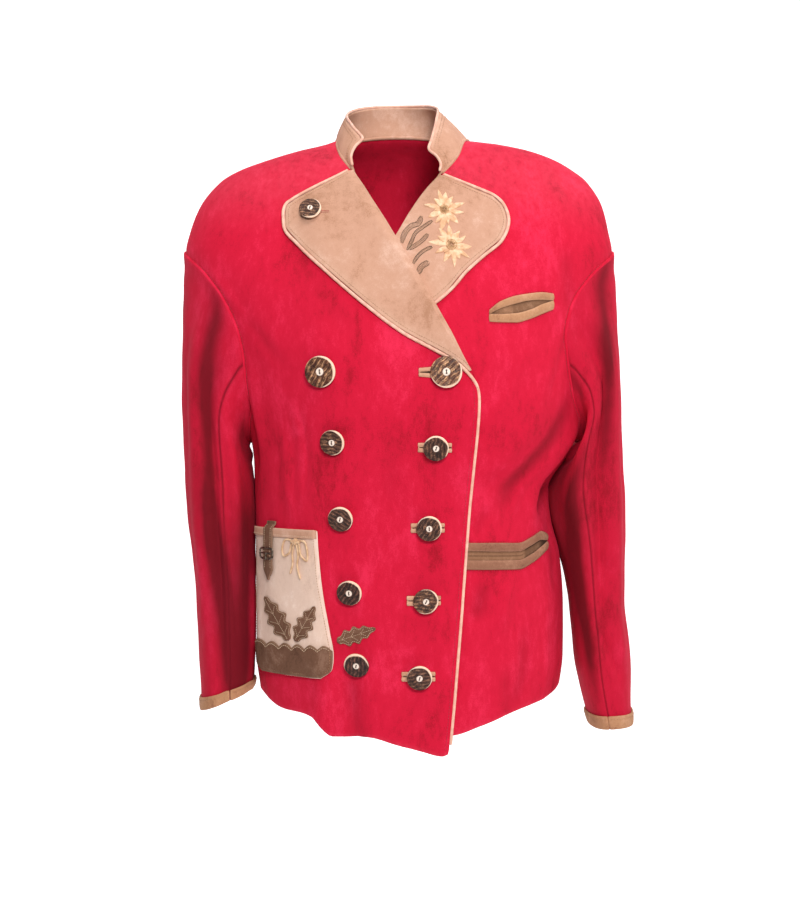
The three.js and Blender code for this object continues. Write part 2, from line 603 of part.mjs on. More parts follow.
// A place on a sleeve: the armhole's own line at the top runs out into ovals between the guides.
function sleevePoint(side, table, folds, round, down) {
  const sine = bend(Math.sin(degToRad(round)), SLEEVE_SQUARENESS);
  const cosine = bend(Math.cos(degToRad(round)), SLEEVE_SQUARENESS);
  const ring = (at) => {
    const column = (key) => read(table, 'down', key, at);
    const half = sine > 0 ? -column('front') : column('back');
    return new THREE.Vector3(
      lerp(column('inX'), column('outX'), (1 + cosine) / 2),
      -sine * half,
      lerp(column('inZ'), column('outZ'), (1 + cosine) / 2),
    );
  };
  const point = ring(down);
  const fade = (1 - smoothstep(down, 0, ARMHOLE_FADE)) ** 1.5;
  if (fade > 0) {
    const z = lerp(ARMHOLE_BOTTOM, ARMHOLE_TOP, (1 + Math.cos(degToRad(round))) / 2);
    const armhole = bodySkin(side * read(ARMHOLE, 'z', round <= 180 ? 'front' : 'back', z), z);
    armhole.x += side * ARMHOLE_GAP;
    point.addScaledVector(armhole.sub(ring(0)), fade);
  }
  const lift = foldLift(folds, round * SLEEVE_MM_PER_DEGREE, down * SLEEVE_LENGTH);
  point.x += side * cosine * lift;
  point.y -= sine * lift;
  return point;
}
function sleeveGrid(side, table, folds, from, to, cols, downs) {
  return downs.map((down) => steps(cols).map((part) => (
    sleevePoint(side, table, folds, (lerp(from, to, part) + 360) % 360, down)
  )));
}
const sleeves = [
  { name: 'right', side: -1, table: RIGHT_SLEEVE, list: RIGHT_SLEEVE_FOLDS },
  { name: 'left', side: 1, table: LEFT_SLEEVE, list: LEFT_SLEEVE_FOLDS },
];
for (const { name, side, table, list } of sleeves) {
  const folds = list.map((fold) => ({
    ...fold,
    from: [fold.round * SLEEVE_MM_PER_DEGREE, fold.down * SLEEVE_LENGTH],
    to: [fold.toRound * SLEEVE_MM_PER_DEGREE, fold.toDown * SLEEVE_LENGTH],
  }));
  const gap = SEAM / 2 / SLEEVE_MM_PER_DEGREE;
  const rows = steps(SLEEVE_ROWS);
  const upper = sleeveGrid(side, table, folds, BACK_SEAM - 360 + gap, FRONT_SEAM - gap, 13, rows);
  const under = sleeveGrid(side, table, folds, FRONT_SEAM + gap, BACK_SEAM - gap, 8, rows);
  const outside = side * SUEDE;
  add(`sleeve_upper_${name}`, wall(upper, offsetGrid(upper, outside)), 'suede');
  add(`sleeve_under_${name}`, wall(under, offsetGrid(under, outside)), 'suede');

  const bandTop = 1 - CUFF_BAND / SLEEVE_LENGTH;
  const vent = CUFF_VENT / 2 / SLEEVE_MM_PER_DEGREE;
  const from = FRONT_SEAM + vent - 360;
  const band = sleeveGrid(side, table, folds, from, FRONT_SEAM - vent, 18, [bandTop, 1 - 0.005, 1]);
  const bandInner = offsetGrid(band, side * (SUEDE + CUFF_BAND_SIT));
  const bandOuter = offsetGrid(band, side * (SUEDE + CUFF_BAND_SIT + CUFF_BAND_THICK));
  add(`cuff_band_${name}`, wall(bandOuter, bandInner), 'tan');
}

// The neckline from the right front's end (-1) round the back (0) to the left front's end (1).
function necklinePoint(part) {
  if (Math.abs(part) <= COLLAR_SIDE) {
    const turn = 180 - (SIDE * part) / COLLAR_SIDE;
    return bodySkin(turn, neckHeight(turn));
  }
  const edge = part < 0 ? RIGHT_EDGE : LEFT_EDGE;
  const end = part < 0 ? RIGHT_NECK_END : LEFT_NECK_END;
  const run = (Math.abs(part) - COLLAR_SIDE) / (1 - COLLAR_SIDE);
  const z = lerp(NECK_POINT, end, run ** 1.4);
  return bodySkin(turnAt(read(edge, 'z', 'x', z), z), z);
}

// The collar leans in from the neckline to its top edge; its front ends are hollowed.
function collarPoint(part, up) {
  const seam = necklinePoint(part);
  const top = new THREE.Vector3(
    read(COLLAR_TOP, 'part', 'x', part),
    read(COLLAR_TOP, 'part', 'y', part),
    read(COLLAR_TOP, 'part', 'z', part),
  );
  const lift = new THREE.Vector3().subVectors(top, seam).setLength(COLLAR_GAP);
  const point = seam.add(lift).lerp(top, up);
  const belly = Math.sin(Math.PI * up);
  const away = new THREE.Vector3(point.x, point.y, 0).normalize();
  point.addScaledVector(away, COLLAR_BELLY * belly);
  const end = smoothstep(Math.abs(part), 0.86, 1);
  point.x += Math.sign(part) * COLLAR_NOTCH * end * belly;
  return point;
}
const collar = steps(4).map((up) => steps(24).map((part) => collarPoint(2 * part - 1, up)));
add('collar', wall(collar, offsetGrid(collar, COLLAR_THICK)), 'tan');

// A round piping along a path.
function piping(points) {
  const section = new THREE.Shape();
  section.absarc(0, 0, PIPING_RADIUS, 0, 2 * Math.PI);
  return new THREE.ExtrudeGeometry(section, {
    extrudePath: new THREE.CatmullRomCurve3(points),
    steps: Math.round(points.length * 1.5),
    curveSegments: PIPING_SIDES / 2,
    bevelEnabled: false,
  });
}

// Lapels lie turned over on the fronts.
function lapelLine(table, down) {
  const last = table.length - 1;
  const rows = table.map((row, i) => ({ ...row, at: i / last }));
  const column = (key) => read(rows, 'at', key, down);
  const roll = new THREE.Vector2(column('rollX'), column('rollZ'));
  const edge = new THREE.Vector2(column('edgeX'), column('edgeZ'));
  return { roll, edge, puff: column('puff') };
}
function lapelGrids(table, place) {
  const outer = [];
  const inner = [];
  for (const down of steps(14)) {
    const { roll, edge, puff } = lapelLine(table, down);
    const width = roll.distanceTo(edge);
    const size = Math.min(1, width / 22);
    const at = (over, lift) => {
      const spot = roll.clone().lerp(edge, over / width);
      return place(spot.x, spot.y, lift);
    };
    const outerRow = ROLL.map((row) => (
      at(row.outerOver * size, lerp(BROAD_SIT + LAPEL_THICK, row.outerLift, puff))
    ));
    const innerRow = ROLL.map((row) => at(row.innerOver * size, lerp(BROAD_SIT, row.innerLift, puff)));
    for (const across of LAPEL_ACROSS) {
      const over = across * width;
      const rise = LAPEL_PUFF * puff * size * Math.exp(-((over / LAPEL_PUFF_REACH) ** 2));
      outerRow.push(at(Math.max(over, LAPEL_FLAT_FROM * size), BROAD_SIT + LAPEL_THICK + rise));
      innerRow.push(at(Math.max(over, LAPEL_FLAT_FROM * size), BROAD_SIT + rise));
    }
    outer.push(outerRow);
    inner.push(innerRow);
  }
  return [outer, inner];
}
add('lapel_right', wall(...lapelGrids(RIGHT_LAPEL, onRightFront)), 'tan');
add('lapel_left', wall(...lapelGrids(LEFT_LAPEL, onLeftFront)), 'tan');

// The piping runs along the lapel's top edge, round its corner and down its outer edge.
function lapelPiping(table, place, turns) {
  const { roll, edge } = lapelLine(table, 0);
  const border = [0.06, 0.3, 0.55, 0.8].map((part) => roll.clone().lerp(edge, part));
  for (const down of turns) border.push(lapelLine(table, down).edge);
  const centre = lapelLine(table, 0.4);
  const middle = centre.roll.clone().lerp(centre.edge, 0.5);
  return border.map((spot, i) => {
    const next = border[Math.min(i + 1, border.length - 1)];
    const run = next.clone().sub(border[Math.max(i - 1, 0)]).normalize();
    const aside = new THREE.Vector2(-run.y, run.x);
    if (aside.dot(spot.clone().sub(middle)) < 0) aside.negate();
    const beside = spot.clone().addScaledVector(aside, PIPING_BESIDE);
    return place(beside.x, beside.y, BROAD_SIT + PIPING_RADIUS);
  });
}
add('piping_lapel_left', piping(lapelPiping(LEFT_LAPEL, onLeftFront, LEFT_PIPING)), 'piping');
add('piping_lapel_right', piping(lapelPiping(RIGHT_LAPEL, onRightFront, RIGHT_PIPING)), 'piping');

// The front edge's piping starts over the roll's lower end and runs beside the edge to the hem.
const frontPiping = FRONT_PIPING.map((z) => (
  onRightFront(read(RIGHT_EDGE, 'z', 'x', z) + PIPING_BESIDE, z, -SUEDE / 2)
));
add('piping_front', piping(frontPiping), 'piping');

// The collar's piping runs round its ends and along its top edge.
const collarBorder = [
  ...[0.15, 0.4, 0.7, 0.97].map((up) => collarPoint(-1, up).add(new THREE.Vector3(1.8, -1.8, 1.2))),
  ...steps(18).slice(1, -1).map((part) => {
    const edge = collarPoint(2 * part - 1, 1);
    const inward = new THREE.Vector3(-edge.x, -edge.y, 0).setLength(COLLAR_THICK / 2);
    return edge.add(inward).add(new THREE.Vector3(0, 0, PIPING_BESIDE + 0.2));
  }),
  ...[0.97, 0.7, 0.4, 0.15].map((up) => collarPoint(1, up).add(new THREE.Vector3(-1.8, -1.8, 1.2))),
];
add('piping_collar', piping(collarBorder), 'piping');

// A strip on a front between two heights that change across it.
function strip(table, upperKey, lowerKey, place, thick, cols, rise = 0) {
  const first = table[0].x;
  const width = table[table.length - 1].x - first;
  const face = (lift, ridge) => steps(2).map((up) => steps(cols).map((part) => {
    const x = first + width * part;
    const z = lerp(read(table, 'x', lowerKey, x), read(table, 'x', upperKey, x), up);
    return place(x, z, lift + ridge * Math.sin(Math.PI * up));
  }));
  return wall(face(WELT_SIT + thick, rise), face(WELT_SIT, 0));
}
for (const [name, table] of [['breast_pocket', BREAST_POCKET], ['hip_pocket', HIP_POCKET]]) {
  const inside = table.map((row) => ({
    ...row,
    mouthTop: row.mouthTop - SEAM,
    mouthBottom: row.mouthBottom + SEAM,
  }));
  add(`${name}_upper_welt`, strip(table, 'top', 'mouthTop', onLeftFront, WELT_THICK, 8, 0.3), 'tan');
  add(`${name}_lower_welt`, strip(table, 'mouthBottom', 'bottom', onLeftFront, WELT_THICK, 8, 0.3), 'tan');
  add(
    `${name}_inside`,
    strip(inside, 'mouthTop', 'mouthBottom', onLeftFront, POCKET_INSIDE_THICK, 8),
    'brown',
  );
}

// Buttonholes under the right column of buttons: two lips that meet in a groove.
for (const button of BUTTONS.filter((row) => row.name.includes('right'))) {
  const face = (lift) => LIPS.map((lip) => steps(4).map((part) => {
    const x = button.x + BUTTONHOLE_ASIDE + BUTTONHOLE_LONG * (part - 0.5);
    const z = button.z + BUTTONHOLE_TALL * lip.up;
    return onRightFront(x, z, lift(lip.thick));
  }));
  const outer = face((thick) => SIT + BUTTONHOLE_THICK * thick);
  add(button.name.replace('button_right', 'buttonhole'), wall(outer, face(() => SIT)), 'tan');
}

// A horn button: a disc with a raised middle, on a thread shank.
function hornButton(radius, shank) {
  const profile = [
    [0, -shank],
    [2.6, -shank],
    [2.6, 0],
    [radius, 0.7],
    [radius, BUTTON_THICK],
    [radius * 0.88, BUTTON_THICK + 1.2],
    [radius * 0.3, BUTTON_THICK + 0.8],
    [radius * 0.22, BUTTON_THICK + 2],
    [0, BUTTON_THICK + 2],
  ].map(([x, y]) => new THREE.Vector2(x, y));
  return new THREE.LatheGeometry(profile, BUTTON_SIDES);
}
// Sets a button on a place with its face along the cloth's normal, tipped down by its tilt.
function setButton(name, foot, outward, radius, tilt, under) {
  const raise = radius * Math.sin(degToRad(tilt)) + 1.9;
  const geometry = hornButton(radius, raise);
  const facing = outward.clone().applyAxisAngle(new THREE.Vector3(1, 0, 0), degToRad(tilt));
  geometry.applyQuaternion(new THREE.Quaternion().setFromUnitVectors(new THREE.Vector3(0, 1, 0), facing));
  const centre = foot.clone().addScaledVector(outward, raise + SIT + under);
  geometry.translate(centre.x, centre.y, centre.z);
  add(name, geometry, 'horn');
}
for (const { name, x, z, radius, tilt } of BUTTONS) {
  const foot = onRightFront(x, z, 0);
  const outward = onRightFront(x, z, 10).sub(foot).normalize();
  setButton(name, foot, outward, radius, tilt, name.includes('right') ? BUTTONHOLE_THICK + 0.2 : 0);
}
const lapelFoot = onRightFront(LAPEL_BUTTON.x, LAPEL_BUTTON.z, BROAD_SIT + LAPEL_THICK);
const lapelFacing = onRightFront(LAPEL_BUTTON.x, LAPEL_BUTTON.z, 12).sub(lapelFoot).normalize();
setButton('button_lapel', lapelFoot, lapelFacing, LAPEL_BUTTON.radius, 0, 0.4);

// Patch pocket: a plain sheet with a brown scalloped band along its foot.
function patchPoint(across, z, lift) {
  const x = lerp(read(PATCH, 'z', 'side', z), read(PATCH, 'z', 'fore', z), across);
  return onRightFront(x, z, lift);
}
function patchStrip(topZ, bottomZ, lift, thick, cols, rows) {
  const face = (height) => steps(rows).map((down) => steps(cols).map((across) => (
    patchPoint(across, lerp(topZ(across), bottomZ(across), down), height)
  )));
  return wall(face(lift + thick), face(lift));
}
const scallop = (across) => Math.abs(Math.sin(Math.PI * SCALLOPS * across));
const patchBottom = PATCH[PATCH.length - 1].z;
const patchTop = PATCH[0].z;
const bandTop = (across) => PATCH_BAND_TOP + SCALLOP_DEPTH * scallop(across);
add('patch_pocket', patchStrip(() => patchTop, () => patchBottom, PATCH_SIT, PATCH_THICK, 7, 8), 'pale');
const onPatch = PATCH_SIT + PATCH_THICK + 2 * SIT;
add('patch_band', patchStrip(bandTop, () => patchBottom + 1, onPatch, PATCH_BAND_THICK, 24, 1), 'brown');

// The pocket's bound mouth and the strap that buckles over it.
const onBand = onPatch + PATCH_BAND_THICK + SIT;
const rimBottom = patchTop - PATCH_RIM;
add('patch_rim', patchStrip(() => patchTop + 1, () => rimBottom, onPatch, PATCH_RIM_THICK, 8, 1), 'tan');
const strapFace = (lift) => steps(8).map((down) => steps(2).map((part) => {
  const z = STRAP.top - STRAP.long * down;
  const tip = STRAP.wide * (1 - 0.75 * smoothstep(down, 0.82, 1));
  return onRightFront(STRAP.x + tip * (part - 0.5), z, lift);
}));
add('patch_strap', wall(strapFace(onBand + STRAP.thick), strapFace(onBand)), 'brown');

// Lays a flat shape's solid on the right front, its thickness along the cloth's normal.
function layOn(geometry, x, z, lift) {
  const foot = onRightFront(x, z, lift);
  const outward = onRightFront(x, z, lift + 10).sub(foot).normalize();
  const across = new THREE.Vector3(0, 0, 1).cross(outward).normalize();
  const up = outward.clone().cross(across);
  geometry.applyMatrix4(new THREE.Matrix4().makeBasis(across, up, outward).setPosition(foot));
  return geometry;
}
function roundedOutline(Outline, wide, tall, round) {
  const x = wide / 2 - round;
  const y = tall / 2 - round;
  const outline = new Outline();
  outline.absarc(x, y, round, 0, Math.PI / 2);
  outline.absarc(-x, y, round, Math.PI / 2, Math.PI);
  outline.absarc(-x, -y, round, Math.PI, 1.5 * Math.PI);
  outline.absarc(x, -y, round, 1.5 * Math.PI, 2 * Math.PI);
  return outline;
}
const buckleShape = roundedOutline(THREE.Shape, BUCKLE.wide, BUCKLE.tall, 4);
const bar = 2 * BUCKLE.bar;
buckleShape.holes.push(roundedOutline(THREE.Path, BUCKLE.wide - bar, BUCKLE.tall - bar, 2));
const buckle = new THREE.ExtrudeGeometry(buckleShape, {
  depth: BUCKLE.thick,
  curveSegments: 2,
  bevelEnabled: false,
});
add('patch_buckle', layOn(buckle, STRAP.x, BUCKLE.z, onBand + STRAP.thick + BUCKLE_SIT), 'metal');

// The lace is tied in a bow at the mouth: a knot, two loops and two hanging ends.
const knot = new THREE.SphereGeometry(LACE.knot, 8, 6).scale(1.2, 0.9, 0.8);
add('lace_knot', layOn(knot, LACE.x, LACE.z, onPatch + KNOT_LIFT), 'tan');
const laceSection = new THREE.Shape().absarc(0, 0, LACE.radius, 0, 2 * Math.PI);
for (const [name, route] of Object.entries(LACE_ROUTES)) {
  const points = route.map(({ x, z, lift }) => onRightFront(LACE.x + x, LACE.z + z, onPatch + lift));
  add(`lace_${name}`, new THREE.ExtrudeGeometry(laceSection, {
    extrudePath: new THREE.CatmullRomCurve3(points),
    steps: route.length * 2,
    curveSegments: PIPING_SIDES / 2,
    bevelEnabled: false,
  }), 'tan');
}

// Oak leaves cut from leather, their edges in round lobes.
function leafWidth(along) {
  const lobes = 0.8 + 0.2 * Math.cos(2 * Math.PI * LEAF_LOBES * along);
  return Math.sin(Math.PI * along ** 0.8) ** 0.8 * lobes + 0.06;
}
for (const leaf of LEAVES) {
  const face = (lift) => steps(12).map((part) => [-1, 0, 1].map((aside) => {
    const along = lerp(0.02, 0.98, part);
    const reach = along * leaf.long;
    const across = aside * leaf.half * leafWidth(along);
    const angle = degToRad(leaf.heading);
    const x = leaf.x + reach * Math.cos(angle) - across * Math.sin(angle);
    const z = leaf.z + reach * Math.sin(angle) + across * Math.cos(angle);
    return onRightFront(x, z, leaf.lift + lift + 0.3 * (1 - Math.abs(aside)));
  }));
  add(leaf.name, wall(face(LEAF_THICK), face(0)), 'brown');
}

export default blazer;
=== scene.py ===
# A double-breasted folk blazer in red suede with tan suede facings, standing in its worn form.
# Sizes are in millimetres and become metres when a mesh is made; +Z is up, the fronts face -Y.
import bpy
import numpy as np
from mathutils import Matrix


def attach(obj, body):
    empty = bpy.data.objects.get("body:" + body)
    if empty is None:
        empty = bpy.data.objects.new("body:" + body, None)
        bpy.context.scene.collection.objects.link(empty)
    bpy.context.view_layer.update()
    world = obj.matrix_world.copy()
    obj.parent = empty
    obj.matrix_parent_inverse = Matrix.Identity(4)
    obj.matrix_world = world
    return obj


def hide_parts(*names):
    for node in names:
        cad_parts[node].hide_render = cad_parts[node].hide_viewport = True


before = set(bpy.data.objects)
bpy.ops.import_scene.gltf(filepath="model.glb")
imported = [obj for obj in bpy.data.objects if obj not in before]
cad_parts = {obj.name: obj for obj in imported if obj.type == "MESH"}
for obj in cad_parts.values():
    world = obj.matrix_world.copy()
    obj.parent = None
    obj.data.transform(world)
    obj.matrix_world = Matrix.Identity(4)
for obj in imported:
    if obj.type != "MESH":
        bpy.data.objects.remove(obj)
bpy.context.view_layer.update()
MM = 0.001

# ---- Camera, floor and light ----
# The blazer is seen from in front at chest height. A pale floor runs up into a pale
# wall far behind, and large soft lamps stand in front and above.
scene = bpy.context.scene
scene.view_settings.view_transform = "Standard"
CAMERA_PLACE, CAMERA_AIM, CAMERA_LENS = (0.006, -2.3, -0.300), (0.006, 0, -0.367), 76.8
# Each lamp's name, place, aim, side in metres, watts and colour.
LAMPS = [
    ("front_lamp", (0.35, -2.9, 0.9), (0, 0, -0.35), 0.9, 78, (1, 0.985, 0.97)),
    ("top_lamp", (0.05, -0.7, 1.7), (0, 0, -0.1), 1.2, 26, (1, 1, 1)),
    ("left_lamp", (-2.2, 1.2, 0.6), (0, 0, -0.4), 1.0, 12, (1, 1, 1)),
    ("right_lamp", (2.4, 0.1, 0.5), (0, 0, -0.4), 1.0, 20, (1, 1, 1)),
    ("back_lamp", (0.3, 2.4, 1.3), (0, 0, -0.4), 1.2, 26, (1, 1, 1)),
]


def aimed(name, data, place, aim):
    """A camera or lamp at a place, turned so that its -Z points at its aim, its Y up."""
    made = bpy.data.objects.new(name, data)
    ahead = np.array(aim, float) - np.array(place)
    ahead /= np.linalg.norm(ahead)
    made.location = place
    made.rotation_euler = (np.arccos(-ahead[2]), 0, -np.arctan2(ahead[0], ahead[1]))
    scene.collection.objects.link(made)
    return made


lens = bpy.data.cameras.new("camera")
lens.lens, lens.sensor_width = CAMERA_LENS, 36
scene.camera = aimed("camera", lens, CAMERA_PLACE, CAMERA_AIM)
for name, place, aim, size, watts, tint in LAMPS:
    light = bpy.data.lights.new(name, "AREA")
    light.size, light.energy, light.color = size, watts, tint
    aimed(name, light, place, aim)
world = bpy.data.worlds.new("studio")
world.use_nodes = True
sky = world.node_tree.nodes["Background"]
sky.inputs["Color"].default_value = (0.93, 0.94, 0.96, 1)
sky.inputs["Strength"].default_value = 0.16
scene.world = world


def rgb(code):
    """A screen colour, as six hex digits, in the linear numbers that a shader takes."""
    part = np.array([int(code[i : i + 2], 16) for i in (0, 2, 4)]) / 255
    return (*np.where(part < 0.04, part / 12.92, ((part + 0.055) / 1.055) ** 2.4), 1)


def mesh_object(name, points, faces, material):
    """A mesh piece from points in metres and faces that share one corner count or come in groups."""
    groups = faces if isinstance(faces, list) else [faces]
    mesh = bpy.data.meshes.new(name)
    corners = np.concatenate([group.reshape(-1) for group in groups]).astype(np.int32)
    sizes = np.concatenate([np.full(len(group), group.shape[1]) for group in groups])
    mesh.vertices.add(len(points))
    mesh.vertices.foreach_set("co", np.asarray(points, np.float32).reshape(-1))
    mesh.loops.add(len(corners))
    mesh.loops.foreach_set("vertex_index", corners)
    mesh.polygons.add(len(sizes))
    mesh.polygons.foreach_set("loop_start", np.r_[0, np.cumsum(sizes)[:-1]].astype(np.int32))
    mesh.polygons.foreach_set("use_smooth", np.ones(len(sizes), bool))
    mesh.update(calc_edges=True)
    mesh.validate()
    mesh.materials.append(material)
    made = bpy.data.objects.new(name, mesh)
    scene.collection.objects.link(made)
    return made


def grid_faces(rows, cols, wrap=False):
    """The squares between the points of a grid, stored row by row; wrap closes each row."""
    row, col = np.meshgrid(np.arange(rows - 1), np.arange(cols if wrap else cols - 1), indexing="ij")
    right = (col + 1) % cols
    square = [row * cols + col, row * cols + right, (row + 1) * cols + right, (row + 1) * cols + col]
    return np.stack(square, -1).reshape(-1, 4)


def write_values(made, key, values):
    """Gives each point of a mesh its value of an attribute that the material reads."""
    layer = made.data.attributes.new(key, "FLOAT", "POINT")
    layer.data.foreach_set("value", values.astype(np.float32))


def feed(tree, made, feeds):
    """Sets a node's inputs, each to a number, a colour or another node's output."""
    for key, value in feeds.items():
        if isinstance(value, bpy.types.NodeSocket):
            tree.links.new(value, made.inputs[key])
        else:
            made.inputs[key].default_value = value


def node(tree, kind, feeds=None, **settings):
    """A new shader node with its settings and inputs."""
    made = tree.nodes.new("ShaderNode" + kind)
    for key, value in settings.items():
        setattr(made, key, value)
    feed(tree, made, feeds or {})
    return made


def attribute(tree, name):
    """A point attribute's value."""
    return node(tree, "Attribute", attribute_name=name).outputs["Fac"]


def new_material(name):
    """A material, its node tree and its shader."""
    material = bpy.data.materials.new(name)
    material.use_nodes = True
    return material, material.node_tree, material.node_tree.nodes["Principled BSDF"]


backdrop, tree, shader = new_material("backdrop")
feed(tree, shader, {
    "Base Color": rgb("f4f3f5"), "Roughness": 0.9, "Emission Color": rgb("fbfafc"),
    "Emission Strength": attribute(tree, "glow"),
})
# The floor runs back and bends up into the wall, which shines a little behind the blazer.
bend_part = np.linspace(0, np.pi / 2, 16)
floor_y = np.r_[-7, 0.3, 1.0, 2.0, 3.2, 3.2 + np.sin(bend_part), 4.2]
floor_z = np.r_[np.full(5, -1.25), -0.25 - np.cos(bend_part), 3.5]
floor_glow = np.r_[0.0, 0.0, 0.5, 0.6, np.full(18, 0.68)]
floor_points = np.stack(np.broadcast_arrays(np.array([-7.0, 7.0])[:, None], floor_y, floor_z), -1)
floor_faces = grid_faces(2, len(floor_y))[:, ::-1]
floor = mesh_object("floor", floor_points.reshape(-1, 3), floor_faces, backdrop)
write_values(floor, "glow", np.tile(floor_glow, 2))

# ---- Body form ----
# The blazer hangs from the shoulders over a torso. Its sections are squared ovals whose
# widths and depths change from the neck to the hem, and folds lift and sink the suede.


def table(names, rows):
    """Rows of figures as one array for each named column."""
    return dict(zip(names.split(), np.array(rows, float).T))


def cubic(value, slope, i, span, t):
    """The cubic from value i to value i + 1 with their slopes, t of the way along the span."""
    start = value[i] * (1 + 2 * t) * (1 - t) ** 2 + span * slope[i] * t * (1 - t) ** 2
    return start + value[i + 1] * t * t * (3 - 2 * t) + span * slope[i + 1] * t * t * (t - 1)


def curve(figures, by, key, at):
    """A column between its rows: a cubic whose slope at a row is the harmonic mean of the
    slopes on its two sides, and level where they differ in sign."""
    order = np.argsort(figures[by])
    place, value = figures[by][order], figures[key][order]
    step = np.diff(value) / np.diff(place)
    same = step[:-1] * step[1:] > 0
    total = np.where(same, step[:-1] + step[1:], 1)
    slope = np.r_[step[0], np.where(same, 2 * step[:-1] * step[1:] / total, 0), step[-1]]
    at = np.clip(at, place[0], place[-1])
    i = np.clip(np.searchsorted(place, at, side="right") - 1, 0, len(place) - 2)
    span = place[i + 1] - place[i]
    return cubic(value, slope, i, span, (at - place[i]) / span)


def smoothstep(at, low, high):
    """Rises from 0 at low to 1 at high with level ends: t t (3 - 2 t)."""
    t = np.clip((at - low) / (high - low), 0, 1)
    return t * t * (3 - 2 * t)


def bell(value, wide):
    """1 at 0, falling off to both sides: 0.37 at wide, next to nothing at twice that."""
    return np.exp(-((value / wide) ** 2))


def bend(value, squareness):
    """A power of 2 / squareness that keeps the sign."""
    return np.sign(value) * np.abs(value) ** (2 / squareness)


# The suede's wall, the ovals' squareness, and the way round the body in one degree of turn.
SUEDE, SQUARENESS, MM_PER_DEGREE = 2.0, 2.3, 2.9
BODY = table("z low high front back", [
    (16, -66, 75, 10, 50), (5, -69, 84, 14, 62), (0, -80, 120, 22, 70), (-8, -113, 158, 33, 79),
    (-20, -152, 190, 45, 90), (-32, -184, 210, 54, 97), (-44, -204, 225, 62, 102),
    (-73, -228, 243, 80, 112), (-104, -240, 251, 96, 120), (-126, -245, 255, 105, 124),
    (-165, -236, 246, 120, 128), (-210, -216, 230, 132, 131), (-260, -194, 222, 140, 130),
    (-309, -178, 219, 141, 126), (-340, -170, 214, 139, 121), (-368, -166, 200, 137, 116),
    (-403, -165, 180, 134, 110), (-440, -164, 184, 132, 108), (-478, -164, 193, 132, 112),
    (-537, -163, 198, 135, 120), (-596, -163, 198, 138, 126), (-643, -158, 192, 140, 128),
    (-710, -155, 184, 141, 128),
])
# The first folds are those of the solids; the rest are the shallow ones between them.
BODY_FOLDS = table("turn z to_turn to_z wide lift", [
    (-48, -330, -44, -430, 9, 3), (-58, -250, -66, -360, 12, 4), (-66, -260, -76, -400, 9, -4),
    (-18, -600, -16, -690, 10, -4), (-29, -590, -30, -690, 12, 4), (74, -318, 52, -440, 15, 7),
    (62, -300, 38, -420, 13, -5), (52, -240, 30, -390, 16, 3), (80, -400, 60, -425, 10, -6),
    (36, -500, 30, -560, 9, 4), (26, -505, 20, -545, 9, -3), (120, -300, 150, -430, 15, 5),
    (128, -330, 158, -400, 11, -4), (238, -290, 210, -425, 15, 5), (228, -340, 204, -410, 11, -4),
    (148, -480, 150, -660, 17, 5), (214, -500, 210, -660, 15, 4), (181, -440, 179, -600, 18, -4),
    (-40, -300, -37, -420, 4, 1.6), (-36, -310, -34, -410, 4, -1.3), (-52, -180, -40, -260, 9, -1.6),
    (-60, -150, -46, -215, 8, 1.8), (-30, -440, -28, -520, 6, 1.1), (-24, -130, -12, -230, 12, -1.2),
    (-6, -330, -2, -420, 9, -1.2), (2, -460, 0, -540, 8, 1), (-10, -560, -12, -640, 7, 1.3),
    (-70, -520, -66, -640, 8, 1.5), (-44, -655, -42, -700, 7, 2), (46, -130, 56, -200, 9, -1.8),
    (38, -240, 22, -330, 7, 1.4), (58, -215, 48, -300, 6, -1.7), (60, -360, 40, -432, 6, 2.2),
    (46, -330, 28, -400, 5, -1.6), (30, -420, 24, -450, 6, -1.4), (44, -560, 40, -650, 9, -2),
    (56, -520, 58, -650, 10, 2), (34, -600, 36, -660, 7, -1.5), (70, -440, 66, -520, 8, -2),
    (96, -360, 112, -440, 9, 2), (104, -500, 108, -640, 12, -3), (134, -200, 128, -300, 14, -2),
    (226, -200, 232, -300, 14, -2), (160, -160, 158, -300, 16, -2.4), (200, -160, 202, -300, 16, -2.4),
    (178, -40, 180, -130, 20, -2), (168, -440, 166, -620, 12, 2.4), (196, -450, 194, -640, 12, 2.6),
    (242, -480, 246, -640, 13, -3), (258, -360, 246, -450, 9, 2), (150, -405, 210, -412, 8, -3),
    (156, -425, 204, -430, 6, 2), (262, -520, 264, -650, 12, 2.4),
])


def fold_lift(folds, across, along):
    """The sum of all folds' lifts: each a bell across its line, fading in and out at its ends."""
    lift = np.zeros(np.broadcast(across, along).shape)
    for from_x, from_y, to_x, to_y, wide, height in zip(*folds.values()):
        run = np.array([to_x - from_x, to_y - from_y])
        length = np.hypot(*run)
        part = ((across - from_x) * run[0] + (along - from_y) * run[1]) / length**2
        sway = 0.12 * wide * np.sin(part * 5 + from_y)
        aside = ((across - from_x) * run[1] - (along - from_y) * run[0]) / length + sway
        ends = smoothstep(part, -0.15, 0.3) * (1 - smoothstep(part, 0.7, 1.15))
        lift += height * ends * bell(aside, wide)
    return lift


body_folds = dict(BODY_FOLDS)
for key in ("turn", "to_turn"):
    body_folds[key] = BODY_FOLDS[key] * MM_PER_DEGREE


def turn_at(x, z):
    """The turn on the front half where the oval at height z has this x."""
    low, high = curve(BODY, "z", "low", z), curve(BODY, "z", "high", z)
    across = np.clip((2 * x - low - high) / (high - low), -1, 1)
    return np.degrees(np.arcsin(np.sign(across) * np.abs(across) ** (SQUARENESS / 2)))


